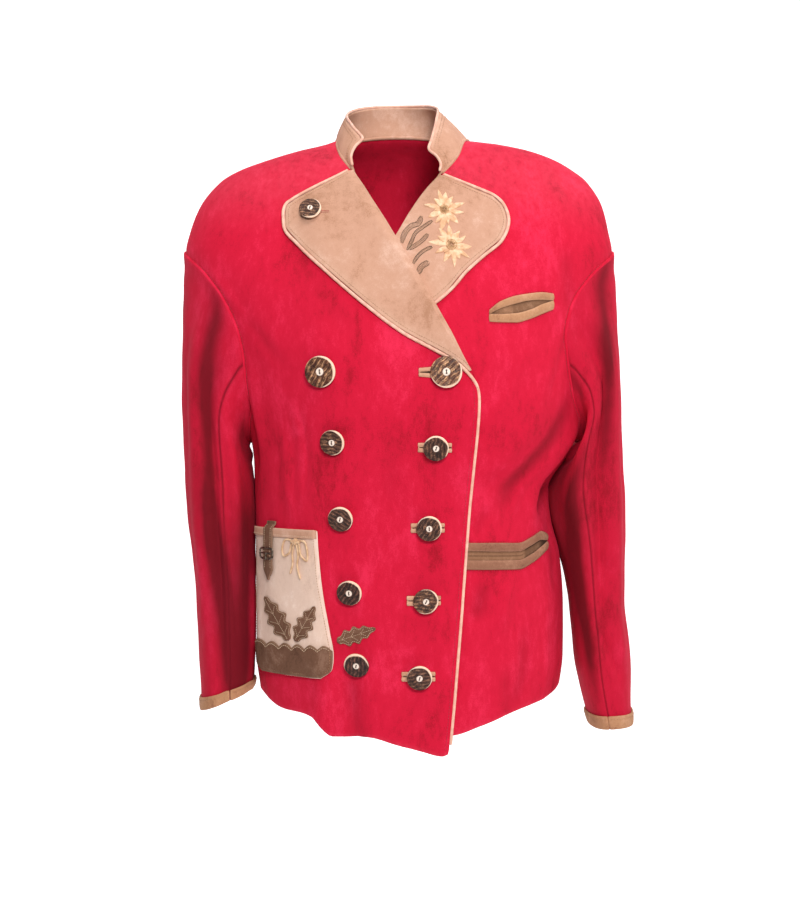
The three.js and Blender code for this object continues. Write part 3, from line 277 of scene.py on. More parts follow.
def body_skin(turn, z):
    """The form at a turn and a height: x is the middle plus half the width times bend(sin turn),
    y is minus the depth times bend(cos turn), moved out by the folds."""
    turn, z = np.broadcast_arrays(np.asarray(turn, float), np.asarray(z, float))
    low, high = curve(BODY, "z", "low", z), curve(BODY, "z", "high", z)
    sine, cosine = np.sin(np.radians(turn)), np.cos(np.radians(turn))
    half = (high - low) / 2
    depth = np.where(cosine > 0, curve(BODY, "z", "front", z), curve(BODY, "z", "back", z))
    across, ahead = bend(sine, SQUARENESS), bend(cosine, SQUARENESS)
    out_x = np.sign(across) * np.abs(across) ** (SQUARENESS - 1) / half
    out_y = -np.sign(ahead) * np.abs(ahead) ** (SQUARENESS - 1) / depth
    size = np.hypot(out_x, out_y)
    place = np.where(turn < -90, turn + 360, turn) * MM_PER_DEGREE
    lift = fold_lift(body_folds, place, z)
    lift += 0.35 * np.sin(place / 17 + z / 31) * np.sin(z / 23 - place / 41)
    x = (low + high) / 2 + half * across + out_x / size * lift
    return np.stack([x, -depth * ahead + out_y / size * lift, z], -1)


def unit(vectors):
    """Vectors cut to length 1."""
    return vectors / np.maximum(np.linalg.norm(vectors, axis=-1, keepdims=True), 1e-9)


def on_body(turn, z, lift):
    """A place on the body moved out along the suede's normal."""
    round_way = body_skin(turn + 0.7, z) - body_skin(turn - 0.7, z)
    up_way = body_skin(turn, z + 1.5) - body_skin(turn, z - 1.5)
    normal = unit(np.cross(round_way, up_way))
    return body_skin(turn, z) + normal * np.broadcast_to(lift, normal.shape[:-1])[..., None]


def lap_lift(x, z):
    """How far the left front and its lapel hold the right front off the body."""
    return 6.6 * smoothstep(x, -130, -72) * smoothstep(-z, 40, 104)


def on_right(x, z, lift):
    """A place on the right front with this x and z, lifted off its skin."""
    return on_body(turn_at(x, z), z, lift + lap_lift(x, z))


def on_left(x, z, lift):
    """A place on the left front with this x and z, lifted off its skin."""
    return on_body(turn_at(x, z), z, lift)

# ---- Suede ----
# Split hide buffed to a short nap. Rubbing lays the nap in soft clouds and streaks, dark one
# way and light the other, and edges and seams are a little paler. Painted shade darkens the
# folds' troughs and the seams' valleys, and a painted highlight pales the tops of the shoulders.


def noise(tree, vector, scale, detail, rough=0.5, swirl=0.0):
    """A noise of this scale, its value from 0 to 1."""
    feeds = {"Vector": vector, "Scale": scale, "Detail": detail, "Roughness": rough, "Distortion": swirl}
    return node(tree, "TexNoise", feeds).outputs["Fac"]


def combine(tree, operation, *feeds):
    """A sum or product of numbers and outputs."""
    return node(tree, "Math", dict(enumerate(feeds)), operation=operation).outputs[0]


def mix(tree, part, below, above):
    """Two colours mixed by a part from 0 to 1."""
    return node(tree, "Mix", {0: part, 6: below, 7: above}, data_type="RGBA").outputs[2]


def bump(tree, strength, distance, height, under=None):
    """The shader's normal with a relief on it, over another relief where there is one."""
    feeds = {"Strength": strength, "Distance": distance, "Height": height}
    if under is not None:
        feeds["Normal"] = under
    return node(tree, "Bump", feeds).outputs["Normal"]


def ramp(tree, feed, stops):
    """A colour ramp through (place, colour code) stops, smooth between them."""
    made = node(tree, "ValToRGB", {"Fac": feed})
    made.color_ramp.interpolation = "EASE"
    bands = made.color_ramp.elements
    while len(bands) < len(stops):
        bands.new(0.5)
    for band, (place, code) in zip(bands, stops):
        band.position = place
        band.color = rgb(code)
    return made.outputs["Color"]


def suede(name, dark, middle, light, worn_and_lit, cloud, streak, sheen=0.3):
    """Suede: broad clouds and fine specks run through a ramp from dark to light. A pale colour comes
    in by the piece's attribute of scuffing and painted highlight, and a dark one, 0.42 of the
    darkest stop, by its attribute of painted shade, where folds sink and seams dip. Short nap and
    soft dimples are bumps."""
    material, tree, shader = new_material(name)
    place = node(tree, "TexCoord").outputs["Object"]
    tall = node(tree, "Mapping", {"Vector": place, "Scale": (1, 1, streak)}).outputs["Vector"]
    clouds = noise(tree, tall, cloud, 5, 0.62, 0.4)
    brush = noise(tree, tall, cloud * 9, 4, 0.7)
    specks = noise(tree, place, 900, 2, 0.6)
    grain = combine(tree, "MULTIPLY_ADD", brush, 0.22, 0.07)
    grain = combine(tree, "MULTIPLY_ADD", clouds, 0.5, grain)
    grain = combine(tree, "MULTIPLY_ADD", specks, 0.15, grain)
    napped = ramp(tree, grain, [(0.37, dark), (0.5, middle), (0.64, light)])
    # Scuffed edges and the painted highlight on the shoulders take the pale colour, broken up by the brushed
    # noise.
    paling = combine(tree, "MULTIPLY", attribute(tree, "wear_and_highlight"), brush)
    paled = mix(tree, paling, napped, rgb(worn_and_lit))
    # The colour of painted shade in folds and seams: the dark stop at 0.42 of its strength.
    shade_dark = tuple(0.42 * part for part in rgb(dark)[:3]) + (1,)
    dimples = bump(tree, 0.35, 0.0012, clouds)
    rubs = bump(tree, 0.3, 0.0004, brush, dimples)
    feed(tree, shader, {
        "Base Color": mix(tree, attribute(tree, "hollow"), paled, shade_dark), "Roughness": 0.92,
        "Specular IOR Level": 0.22, "Sheen Weight": sheen, "Sheen Roughness": 0.45,
        "Sheen Tint": rgb(light), "Normal": bump(tree, 0.5, 0.00025, specks, rubs),
    })
    return material


red = suede("red_suede", "9c0820", "c60f32", "da2448", "e0566a", 15, 0.5)
# A darker copy of the red suede with less sheen: painted shade on the sleeves, which stand back and aside
# from the front lamp.
shaded_sleeve_red = suede("sleeve_red_suede", "92081f", "ba0e2f", "cc2042", "d04c60", 15, 0.45, 0.2)
tan = suede("tan_suede", "a87a60", "c0927a", "d0a894", "dcbaa6", 16, 0.8, 0.15)
welt_suede = suede("welt_suede", "94644a", "b0805e", "c49474", "d4a888", 40, 0.9, 0.15)
hip_suede = suede("hip_welt_suede", "74493a", "8c5f4a", "a4765e", "bc9076", 40, 0.9, 0.1)
brown = suede("brown_suede", "523628", "6a4938", "846250", "b4967a", 40, 0.8, 0.15)
pale = suede("pale_suede", "c8a896", "dcbeac", "ead2c4", "f2e0d4", 26, 0.7, 0.2)

# ---- Cloth walls ----
# Each cut of suede is a closed wall 1 to 3 mm thick. A free edge is rounded over, and at a
# seam the edge turns in, so that the seam shows as a narrow valley.


def border(rows, cols):
    """The indices round a grid's edge in order, and the index of each one's inner neighbour."""
    grid = np.arange(rows * cols).reshape(rows, cols)
    inner_row = np.clip(np.arange(rows), 1, rows - 2)
    inner_col = np.clip(np.arange(cols), 1, cols - 2)
    inner = grid[np.ix_(inner_row, inner_col)]
    ring = [grid[0, :-1], grid[:-1, -1], grid[-1, :0:-1], grid[:0:-1, 0]]
    near = [inner[0, :-1], inner[:-1, -1], inner[-1, :0:-1], inner[:0:-1, 0]]
    return np.concatenate(ring), np.concatenate(near)


def cut_size(outer):
    """The width, length and area of a grid of cloth laid flat, in metres."""
    across = np.linalg.norm(np.diff(outer, axis=1), axis=2)
    along = np.linalg.norm(np.diff(outer, axis=0), axis=2)
    area = (across[:-1] + across[1:]) * (along[:, :-1] + along[:, 1:]) / 4
    return across.sum(1).max() * MM, along.sum(0).max() * MM, area.sum() * MM * MM


def piece(name, points, faces, material, solid=None):
    """A piece of the blazer from points in millimetres, in place of its solid if it has one."""
    made = mesh_object(name, points.reshape(-1, 3) * MM, faces, material)
    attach(made, "root")
    if solid:
        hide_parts(solid)
    return made


# A cut is declared at least this long, and covers at least this part of its width by length.
SMALLEST_CUT, SMALLEST_AREA_PART = 0.0101, 0.31
# How much of its edge's own scuffing and painted highlight, and of its painted shades, a wall's rounded rim
# takes.
RIM_TAKES = dict(wear_and_highlight=1.1, hollow=1.0, shade=0.0)


def cloth(name, solid, slot, outer, inner, material, bulge=0.5, wear_and_highlight=0.0, held="hung", rests_on=(), **shades):
    """A closed wall between two grids in place of its solid; the size of its flat cut is worked out. Its
    border is a half round: three rings of points at cos(a) half the wall and sin(a) bulge times
    the wall outwards, a at 45, 90 and 135 degrees. Scuffing, painted highlight and painted shades
    are its nap's attributes."""
    rows, cols = outer.shape[:2]
    ring, near = border(rows, cols)
    flat_outer, flat_inner = outer.reshape(-1, 3), inner.reshape(-1, 3)
    top, low = flat_outer[ring], flat_inner[ring]
    half = (top - low) / 2
    away = unit(top - flat_outer[near])
    thick = np.linalg.norm(top - low, axis=1, keepdims=True)
    rings = [
        (top + low) / 2 + np.cos(turn) * half + np.sin(turn) * bulge * thick * away
        for turn in np.radians([45, 90, 135])
    ]
    points = np.concatenate([flat_outer, flat_inner, *rings])
    count, size = rows * cols, len(ring)
    square = grid_faces(rows, cols)
    loops = [ring, *(2 * count + size * k + np.arange(size) for k in range(3)), count + ring]
    strips = [
        np.stack([a, b, np.roll(b, -1), np.roll(a, -1)], -1) for a, b in zip(loops[:-1], loops[1:])
    ]
    faces = np.concatenate([square, square[:, ::-1] + count, *strips])
    corner = points[faces]
    volume = sum(
        np.einsum("ij,ij->i", corner[:, 0], np.cross(corner[:, k], corner[:, k + 1])).sum() for k in (1, 2)
    )
    if volume < 0:  # its faces point inwards, so they are turned over
        faces = np.ascontiguousarray(faces[:, ::-1])
    made = piece(name, points, faces, material, solid)
    for key, values in dict(wear_and_highlight=wear_and_highlight, **shades).items():
        values = np.broadcast_to(values, (rows, cols)).reshape(-1)
        rim = RIM_TAKES[key] * values[ring]
        write_values(made, key, np.concatenate([values, values * 0, np.tile(rim, 3)]))
    width, length, area = cut_size(outer)
    length = max(length, SMALLEST_CUT)
    area = min(max(area, SMALLEST_AREA_PART * width * length), width * length)


def fold_shade(folds, across, along):
    """How dark the painted shade in a fold's trough is: 1 where the cloth sinks by 7 mm or more."""
    return np.clip(-fold_lift(folds, across, along) / 7, 0, 1)


def offset(grid, distance):
    """A grid moved along its normals; a positive distance goes where columns x rows point."""
    columns = np.gradient(grid, axis=1)
    rows = np.gradient(grid, axis=0)
    return grid + unit(np.cross(columns, rows)) * distance

# ---- Fronts and back ----
# Three panels of red suede, cut straight at the side seams and sewn at shoulders and sides.
# The right front laps over the left. Hems are turned up and stuck down, so the edge is round.
SIDE = 90
HEM_LEVEL, HEM_BLEND, ARMHOLE_TOP, ARMHOLE_FOOT = -640, -458, -126, -348
SEAM_TURN = 0.2 / MM_PER_DEGREE
ARMHOLE = table("z front back", [
    (-126, 90, 90), (-131, 82, 96), (-146, 68, 108), (-160, 62, 114), (-182, 57, 118), (-214, 56, 119),
    (-240, 58, 118), (-288, 64, 112), (-320, 74, 103), (-338, 82, 97), (-348, 90, 90),
])
RIGHT_EDGE = table("z x", [
    (4, -67.5), (0, -69), (-15, -65), (-39, -49), (-79, -26), (-132, 6), (-189, 39), (-239, 67),
    (-283, 88), (-300, 90.5), (-411, 81), (-522, 73), (-633, 64), (-700, 58),
])
LEFT_EDGE = table("z x", [
    (4, 84), (0, 81), (-18, 74), (-45, 52), (-73, 29), (-117, 4), (-168, -34), (-205, -60),
    (-240, -78), (-300, -82), (-700, -72),
])
RIGHT_HEM = table("turn z", [
    (-90, -634), (-76, -637), (-52, -650), (-42, -651), (-34, -655), (-26, -674),
    (-12, -674), (-3, -682), (4, -690), (10, -695), (13, -691),
])
LEFT_HEM = table("turn z", [(-34, -674), (13, -673), (24, -664), (43, -648), (60, -640), (90, -624)])
BACK_HEM = table("turn z", [(90, -624), (130, -637), (180, -643), (230, -641), (270, -634)])
# The rows' heights, each with the number of rows from it up to the next.
ROW_STOPS = [
    (HEM_LEVEL, 57), (HEM_BLEND, 33), (-350, 13), (-330, 55), (-150, 19), (ARMHOLE_TOP, 39), (3.2, 0),
]
LEVELS = np.concatenate([
    *(np.linspace(low[0], high[0], low[1], endpoint=False) for low, high in zip(ROW_STOPS, ROW_STOPS[1:])),
    [ROW_STOPS[-1][0]],
])[:, None]
EDGE_PARTS = np.array([0, 0.002, 0.005, 0.009, 0.014, 0.021])


def parts_across(count):
    """Parts from 0 to 1, close together at both ends and even between."""
    middle = np.linspace(EDGE_PARTS[-1], 1 - EDGE_PARTS[-1], count)
    return np.r_[EDGE_PARTS[:-1], middle, 1 - EDGE_PARTS[-2::-1]]


def row_height(level, turn, hem):
    """A row's height: below the blend level it slides down to the hem's own height."""
    part = (HEM_BLEND - level) / (HEM_BLEND - HEM_LEVEL)
    slid = HEM_BLEND + (curve(hem, "turn", "z", turn) - HEM_BLEND) * part
    return np.where(level >= HEM_BLEND, level, slid)


def armhole_turn(key, z):
    """The turn where a panel ends at a height: the armhole's curve, and the side seam beyond it."""
    return np.where((z > ARMHOLE_TOP) | (z < ARMHOLE_FOOT), SIDE, curve(ARMHOLE, "z", key, z))


def seam_sink(distance):
    """How far a panel turns in at a seam: 1 mm, as a bell over the last 2 mm."""
    return -bell(distance, 1.7)


def seam_shade(distance):
    """Painted shade in a seam's valley over its last 2 mm."""
    return 0.6 * bell(distance, 1.2)


def seam_wear(distance, amount):
    """The nap is rubbed a little on the ridge 3 mm beside a seam."""
    return amount * bell(distance - 3, 1.5)


def front_grids(side, edge, hem, lift):
    """Both faces of a front, each point's way from the seam, its turn and its height: rows at
    one height, columns from the inner edge to the outer seam."""
    out_turn = side * (armhole_turn("front", LEVELS) - SEAM_TURN)
    first = turn_at(curve(edge, "z", "x", LEVELS), LEVELS)
    edge_z = row_height(LEVELS, first, hem)
    edge_turn = turn_at(curve(edge, "z", "x", edge_z), edge_z)
    turn = edge_turn + (out_turn - edge_turn) * parts_across(64)
    z = row_height(LEVELS, turn, hem)
    raised = lift(body_skin(turn, z)[..., 0], z)
    seam = np.abs(out_turn - turn) * MM_PER_DEGREE
    outer = on_body(turn, z, raised + seam_sink(seam))
    return outer, on_body(turn, z, raised - SUEDE), seam, turn, z


def shoulder_highlight(z):
    """A painted highlight on top of the shoulders, where the light falls most, less and less down to 120 mm.
    """
    return 0.42 * smoothstep(z, -120, -35)


def panel(name, solid, grids, hem, shade_dark):
    """A panel from its grids: scuffed pale at the hem and beside the seams, with a painted highlight
    on the shoulders, and painted shade in the seams' valleys and, by the given share, in the folds' troughs."""
    outer, inner, seam, turn, z = grids
    hem_wear = 0.3 * bell(z - curve(hem, "turn", "z", turn), 2.5)
    # Scuffing at the hem and beside the seams, and a painted highlight on the shoulders.
    wear_and_highlight = np.maximum(np.maximum(hem_wear, seam_wear(seam, 0.08)), shoulder_highlight(z))
    # Painted shade in the folds' troughs and the seams' valleys.
    hollow = np.maximum(shade_dark * fold_shade(body_folds, turn * MM_PER_DEGREE, z), seam_shade(seam))
    cloth(name, solid, "suede_red", outer, inner, red, wear_and_highlight=wear_and_highlight, hollow=hollow)


panel("right_front", "front_right", front_grids(-1, RIGHT_EDGE, RIGHT_HEM, lap_lift), RIGHT_HEM, 0.6)
panel("left_front", "front_left", front_grids(1, LEFT_EDGE, LEFT_HEM, lambda x, z: 0), LEFT_HEM, 0.8)


def neck_height(turn):
    """The back's neckline rises from the neck points to the centre back by cos squared."""
    return 4 + 10 * np.cos(np.radians(turn)) ** 2


start = armhole_turn("back", LEVELS) + SEAM_TURN
turn = start + (360 - 2 * start) * parts_across(92)
rise = (neck_height(turn) - 4) * smoothstep(LEVELS, -30, 4)
z = row_height(LEVELS, turn, BACK_HEM) + rise
seam = np.minimum(turn - start, 360 - start - turn) * MM_PER_DEGREE
grids = on_body(turn, z, seam_sink(seam)), on_body(turn, z, -SUEDE), seam, turn, z
panel("back_panel", "back", grids, BACK_HEM, 0.6)

# ---- Sleeves ----
# Two-part sleeves of red suede, an upper and an under part, set into the armholes and bent a
# little forward at the elbow. Long folds hang from the armholes down the inner side.
SLEEVE_SQUARENESS = 2.4
SLEEVE_LENGTH, SLEEVE_MM_PER_DEGREE, ARMHOLE_REACH = 540, 0.95, 0.34
FRONT_SEAM, BACK_SEAM = 101, 246
GUIDES = "down out_x out_z in_x in_z front back"
RIGHT_SLEEVE = table(GUIDES, [
    (0, -245, -126, -170, -348, -80, 78), (0.05, -244, -143, -178, -350, -79, 79),
    (0.12, -245, -168, -179, -355, -77, 79), (0.22, -246.5, -215, -176, -364, -75, 78),
    (0.34, -247, -285, -171.5, -382, -72, 75), (0.46, -244.5, -355, -168.4, -412, -70, 70),
    (0.6, -241, -425, -167.4, -460, -67, 63), (0.75, -233, -505, -166.8, -520, -62, 54),
    (0.88, -229, -590, -167, -588, -60, 44), (1, -225.5, -662, -169.5, -636, -60, 38),
])
LEFT_SLEEVE = table(GUIDES, [
    (0, 255, -126, 213, -348, -80, 78), (0.05, 254.5, -143, 223.5, -350, -79, 79),
    (0.12, 256.5, -168, 225.5, -355, -77, 79), (0.22, 258.5, -215, 216, -366, -75, 78),
    (0.34, 262.5, -285, 196, -388, -72, 75), (0.46, 264.5, -360, 186.5, -422, -70, 70),
    (0.6, 267.5, -440, 196.5, -470, -67, 63), (0.75, 266.5, -530, 207.5, -536, -64, 53),
    (0.88, 275, -610, 214.5, -606, -64, 40), (1, 276, -676, 232, -679, -66, 30),
])
CREASES = "round down to_round to_down wide lift"
RIGHT_SLEEVE_FOLDS = table(CREASES, [
    (88, 0.12, 90, 0.95, 9, -9), (62, 0.1, 58, 0.9, 14, 4), (124, 0.2, 122, 0.8, 9, 4),
    (160, 0.36, 158, 0.99, 7, 5), (268, 0.15, 274, 0.8, 11, -6), (300, 0.3, 285, 0.95, 14, 4),
    (84, 0.25, 80, 0.7, 5, 1.6), (40, 0.1, 46, 0.5, 8, -1.8), (106, 0.3, 112, 0.85, 6, -3),
    (95, 0.55, 60, 0.62, 5, -1.6), (100, 0.48, 70, 0.54, 6, 1.5), (80, 0.8, 40, 0.86, 6, -1.4),
    (20, 0.3, 26, 0.8, 10, 1.6), (290, 0.5, 250, 0.58, 6, -2), (320, 0.2, 330, 0.7, 9, -1.6),
    (250, 0.6, 290, 0.68, 6, 1.6), (182, 0, 182, 0.28, 16, 6), (178, 0.22, 178, 0.6, 14, 2.4),
])
LEFT_SLEEVE_FOLDS = table(CREASES, [
    (72, 0.02, 92, 0.8, 9, -9), (112, 0.1, 116, 0.7, 11, 5), (48, 0.2, 56, 0.9, 14, 4),
    (160, 0.3, 160, 0.62, 7, 4), (98, 0.8, 70, 0.9, 7, -4), (272, 0.2, 266, 0.85, 11, -6),
    (295, 0.35, 300, 0.9, 14, 4), (58, 0.05, 62, 0.5, 5, 1.8), (36, 0.1, 30, 0.6, 8, -1.6),
    (104, 0.62, 66, 0.7, 6, -2), (100, 0.7, 60, 0.78, 6, 1.6), (90, 0.9, 50, 0.84, 5, 1.4),
    (16, 0.4, 20, 0.9, 10, 1.6), (288, 0.5, 250, 0.56, 6, -2), (320, 0.25, 326, 0.75, 9, -1.6),
    (250, 0.62, 292, 0.7, 6, 1.6), (182, 0.12, 182, 0.44, 17, 7), (180, 0.36, 180, 0.66, 16, 5.5),
    (176, 0.05, 178, 0.26, 15, 12),
])
# Painted shade on the sleeves: dark streaks in the deepest troughs and on the inner side, listed as folds
# whose sinking sets how dark they are.
RIGHT_SLEEVE_SHADE = table(CREASES, [
    (56, -0.02, 86, 0.36, 9, -7), (86, 0.14, 78, 0.78, 9, -7), (77, 0.52, 112, 1.04, 17, -9),
    (138, 0.44, 130, 1.1, 20, -8), (146, 0, 152, 0.26, 10, -4), (176, 0.1, 160, 0.75, 14, -6),
    (268, 0.15, 274, 0.8, 14, -4), (214, 0.2, 220, 0.9, 16, -3),
])
LEFT_SLEEVE_SHADE = table(CREASES, [
    (24, -0.06, 62, 0.26, 8, -6), (60, 0.12, 71, 0.46, 8, -6), (110, 0.34, 122, 0.62, 9, -6),
    (122, 0.44, 136, 0.8, 14, -9), (136, 0.58, 118, 0.92, 11, -9), (156, 0.2, 160, 0.8, 18, -6),
    (108, -0.02, 114, 0.1, 8, -5), (272, 0.2, 266, 0.85, 14, -4), (214, 0.2, 220, 0.9, 16, -3),
])


def scaled(folds):
    """A sleeve's folds with their places in millimetres round and down the sleeve."""
    sizes = dict(round=SLEEVE_MM_PER_DEGREE, down=SLEEVE_LENGTH)
    return {key: value * sizes.get(key.removeprefix("to_"), 1) for key, value in folds.items()}


def sleeve_point(side, guides, folds, angle, down):
    """A place on a sleeve: squared ovals between the outer and inner guide lines, which near the
    top are moved onto the armhole's own curve, with folds lifting them outwards."""
    angle, down = np.broadcast_arrays(np.mod(np.asarray(angle, float), 360), np.asarray(down, float))
    level = np.cos(np.radians(angle))
    sine, cosine = (bend(value, SLEEVE_SQUARENESS) for value in (np.sin(np.radians(angle)), level))

    def ring(at):
        """The sleeve's own squared oval at a way down."""
        out = (1 + cosine) / 2
        half = np.where(sine > 0, -curve(guides, "down", "front", at), curve(guides, "down", "back", at))
        x = curve(guides, "down", "in_x", at) * (1 - out) + curve(guides, "down", "out_x", at) * out
        z = curve(guides, "down", "in_z", at) * (1 - out) + curve(guides, "down", "out_z", at) * out
        return np.stack([x, -sine * half, z], -1)

    point = ring(down)
    fade = (1 - smoothstep(down, 0, ARMHOLE_REACH)) ** 1.5
    z = ARMHOLE_FOOT + (ARMHOLE_TOP - ARMHOLE_FOOT) * (1 + level) / 2
    turn = np.where(angle <= 180, curve(ARMHOLE, "z", "front", z), curve(ARMHOLE, "z", "back", z))
    armhole = body_skin(side * turn, z) + np.array([side * 1.0, 0, 0])
    point = point + (armhole - ring(down * 0)) * fade[..., None]
    lift = fold_lift(folds, angle * SLEEVE_MM_PER_DEGREE, down * SLEEVE_LENGTH)
    lift = lift + 0.35 * np.sin(down * 47 + angle / 29) * np.sin(angle / 17 - down * 23)
    return point + np.stack([side * cosine * lift, -sine * lift, 0 * lift], -1)


def sleeve_out(side, skin):
    """The way out of a sleeve at each point of its grid."""
    return side * (offset(skin, 1) - skin)


SLEEVES = [
    ("right", -1, RIGHT_SLEEVE, scaled(RIGHT_SLEEVE_FOLDS), scaled(RIGHT_SLEEVE_SHADE)),
    ("left", 1, LEFT_SLEEVE, scaled(LEFT_SLEEVE_FOLDS), scaled(LEFT_SLEEVE_SHADE)),
]
downs = np.r_[0, 0.004, 0.009, np.linspace(0.016, 1, 130)][:, None]
gap = 0.2 / SLEEVE_MM_PER_DEGREE
for word, side, guides, folds, shades in SLEEVES:
    for half_name, begin, end, count in (
        ("upper", BACK_SEAM - 360 + gap, FRONT_SEAM - gap, 62),
        ("under", FRONT_SEAM + gap, BACK_SEAM - gap, 40),
    ):
        angle = begin + (end - begin) * parts_across(count)
        skin = sleeve_point(side, guides, folds, angle, downs)
        seam = np.minimum(angle - begin, end - angle) * SLEEVE_MM_PER_DEGREE
        seam = np.minimum(seam, downs * SLEEVE_LENGTH * 0.7)
        outer = skin + (SUEDE + seam_sink(seam))[..., None] * sleeve_out(side, skin)
        # Painted shade from the sleeve's shade table, and in the seams' valleys.
        trough = fold_shade(shades, np.mod(angle, 360) * SLEEVE_MM_PER_DEGREE, downs * SLEEVE_LENGTH)
        cloth(
            f"sleeve_{half_name}_part_{word}", f"sleeve_{half_name}_{word}", "suede_red", outer, skin,
            shaded_sleeve_red, 0.3, seam_wear(seam, 0.06), hollow=np.maximum(0.9 * trough, seam_shade(seam)),
        )

# ---- Thread, piping and stitching ----
# Seams and edges are topstitched with strong thread. Piping is a cord wrapped in smooth pale
# leather, caught in the seam along the edges of the lapels, collar and right front.


def fibre(name, tint, light, rough=0.6, twist=1.5):
    """Twisted thread or smooth edge leather: slight colour clouds, and fine slanting ridges."""
    material, tree, shader = new_material(name)
    place = node(tree, "TexCoord").outputs
    cloud = noise(tree, place["Object"], 140, 4)
    slant = node(tree, "Mapping", {"Vector": place["UV"], "Rotation": (0, 0, 0.6)}).outputs["Vector"]
    ridges = node(tree, "TexWave", {"Vector": slant, "Scale": twist, "Distortion": 0.6}).outputs["Fac"]
    feed(tree, shader, {
        "Base Color": ramp(tree, cloud, [(0.35, tint), (0.65, light)]), "Roughness": rough,
        "Specular IOR Level": 0.3, "Sheen Weight": 0.15, "Normal": bump(tree, 0.35, 0.0002, ridges),
    })
    return material


piping_leather = fibre("piping_leather", "dca48e", "eebca6", 0.55, 9.0)
red_thread = fibre("red_thread", "8c0a20", "b01a34")
tan_thread = fibre("tan_thread", "8a6040", "ac8058")
pale_thread = fibre("pale_thread", "c8a888", "e0c4a4")


def run_length(line):
    """How far along a line each of its points lies."""
    return np.r_[0, np.cumsum(np.linalg.norm(np.diff(line, axis=0), axis=1))]


def resample(line, spacing):
    """The same line with points at an even spacing."""
    at = run_length(line)
    even = np.linspace(0, at[-1], max(4, int(at[-1] / spacing) + 1))
    return np.stack([np.interp(even, at, values) for values in line.T], -1)


def smooth_path(points, spacing=1.5):
    """A curve through points, even in length: a cubic between each two whose slope at a point is
    that of the chord between its neighbours."""
    points = np.asarray(points, float)
    at = run_length(points)
    slope = np.gradient(points, at, axis=0)
    dense = np.linspace(0, at[-1], len(points) * 16)
    i = np.clip(np.searchsorted(at, dense, side="right") - 1, 0, len(at) - 2)
    span = (at[i + 1] - at[i])[:, None]
    return resample(cubic(points, slope, i, span, (dense - at[i])[:, None] / span), spacing)


def set_uv(made, uv):
    """Gives each corner its point's place on the UV map."""
    corner = np.empty(len(made.data.loops), np.int32)
    made.data.loops.foreach_get("vertex_index", corner)
    layer = made.data.uv_layers.new(name="UVMap")
    layer.data.foreach_set("uv", uv[corner].astype(np.float32).reshape(-1))


def tube(name, line, out, radius, material, sides=12, solid=None):
    """A round tube: circles across a line, turned so that one axis follows out, closed at both
    ends by small rings. Its UV runs round and along in centimetres."""
    radius = np.broadcast_to(np.asarray(radius, float), len(line)).copy()
    ahead = unit(np.gradient(line, axis=0))
    side = unit(np.cross(ahead, out))
    up = np.cross(side, ahead)
    first = line[:1] - ahead[:1] * radius[0] * 0.6
    last = line[-1:] + ahead[-1:] * radius[-1] * 0.6
    line = np.concatenate([first, line, last])
    side, up = (np.concatenate([way[:1], way, way[-1:]]) for way in (side, up))
    radius = np.r_[radius[0] * 0.45, radius, radius[-1] * 0.45]
    turn = np.linspace(0, 2 * np.pi, sides, endpoint=False)[None, :, None]
    circle = np.cos(turn) * side[:, None] + np.sin(turn) * up[:, None]
    points = line[:, None] + circle * radius[:, None, None]
    count = len(line)
    caps = np.stack([np.arange(sides)[::-1], (count - 1) * sides + np.arange(sides)])
    made = piece(name, points, [grid_faces(count, sides, wrap=True), caps], material, solid)
    round_way = np.broadcast_to(np.arange(sides) / sides, (count, sides))
    along = np.broadcast_to(run_length(line)[:, None] / 10, (count, sides))
    set_uv(made, np.stack([round_way, along], -1).reshape(-1, 2))
    return made


def stitches(name, rows, material, pitch=3.6, long=2.7, radius=0.34):
    """Rows of stitches, each a short thread that rises by an arch and dips into the suede. A row
    is a line and the way out of the cloth at each of its points."""
    solid, squares, caps = [], [], []
    ring_at = np.linspace(-0.5, 0.5, 5)
    turn = np.linspace(0, 2 * np.pi, 5, endpoint=False)
    for line, out in rows:
        at = run_length(line)
        count = int(at[-1] // pitch)
        middle = (np.arange(count) + 0.5) * pitch + (at[-1] - count * pitch) / 2
        where = middle[:, None] + ring_at * long
        spot, up = (np.stack([np.interp(where, at, k) for k in way.T], -1) for way in (line, out))
        up = unit(up)
        ahead = unit(spot[:, -1:] - spot[:, :1])
        side = np.cross(ahead, up)
        lift = radius * (1.25 * np.cos(np.pi * ring_at) - 0.45)
        thick = radius * np.sqrt(1 - 3.4 * ring_at**2)
        centre = spot + up * lift[None, :, None]
        round_way = np.cos(turn)[:, None] * side[:, :, None] + np.sin(turn)[:, None] * up[:, :, None]
        points = centre[:, :, None] + round_way * thick[None, :, None, None]
        first = sum(len(block) for block in solid) + np.arange(count)[:, None] * 25
        squares.append((first[..., None] + grid_faces(5, 5, wrap=True)[None]).reshape(-1, 4))
        ends = np.stack([np.arange(5)[::-1], 20 + np.arange(5)])
        caps.append((first[..., None] + ends[None]).reshape(-1, 5))
        solid.append(points.reshape(-1, 3))
    points = np.concatenate(solid)
    made = piece(name, points, [np.concatenate(squares), np.concatenate(caps)], material)
    uv = np.stack(np.meshgrid(np.arange(5) / 5, np.arange(5) / 20), -1).reshape(-1, 2)
    set_uv(made, np.tile(uv, (len(points) // 25, 1)))


def on_line(place, x, z, lift=0.0):
    """A line on the cloth and the way out of it, from x and z and a lift."""
    line = place(x, z, lift)
    return line, place(x, z, lift + 1) - line

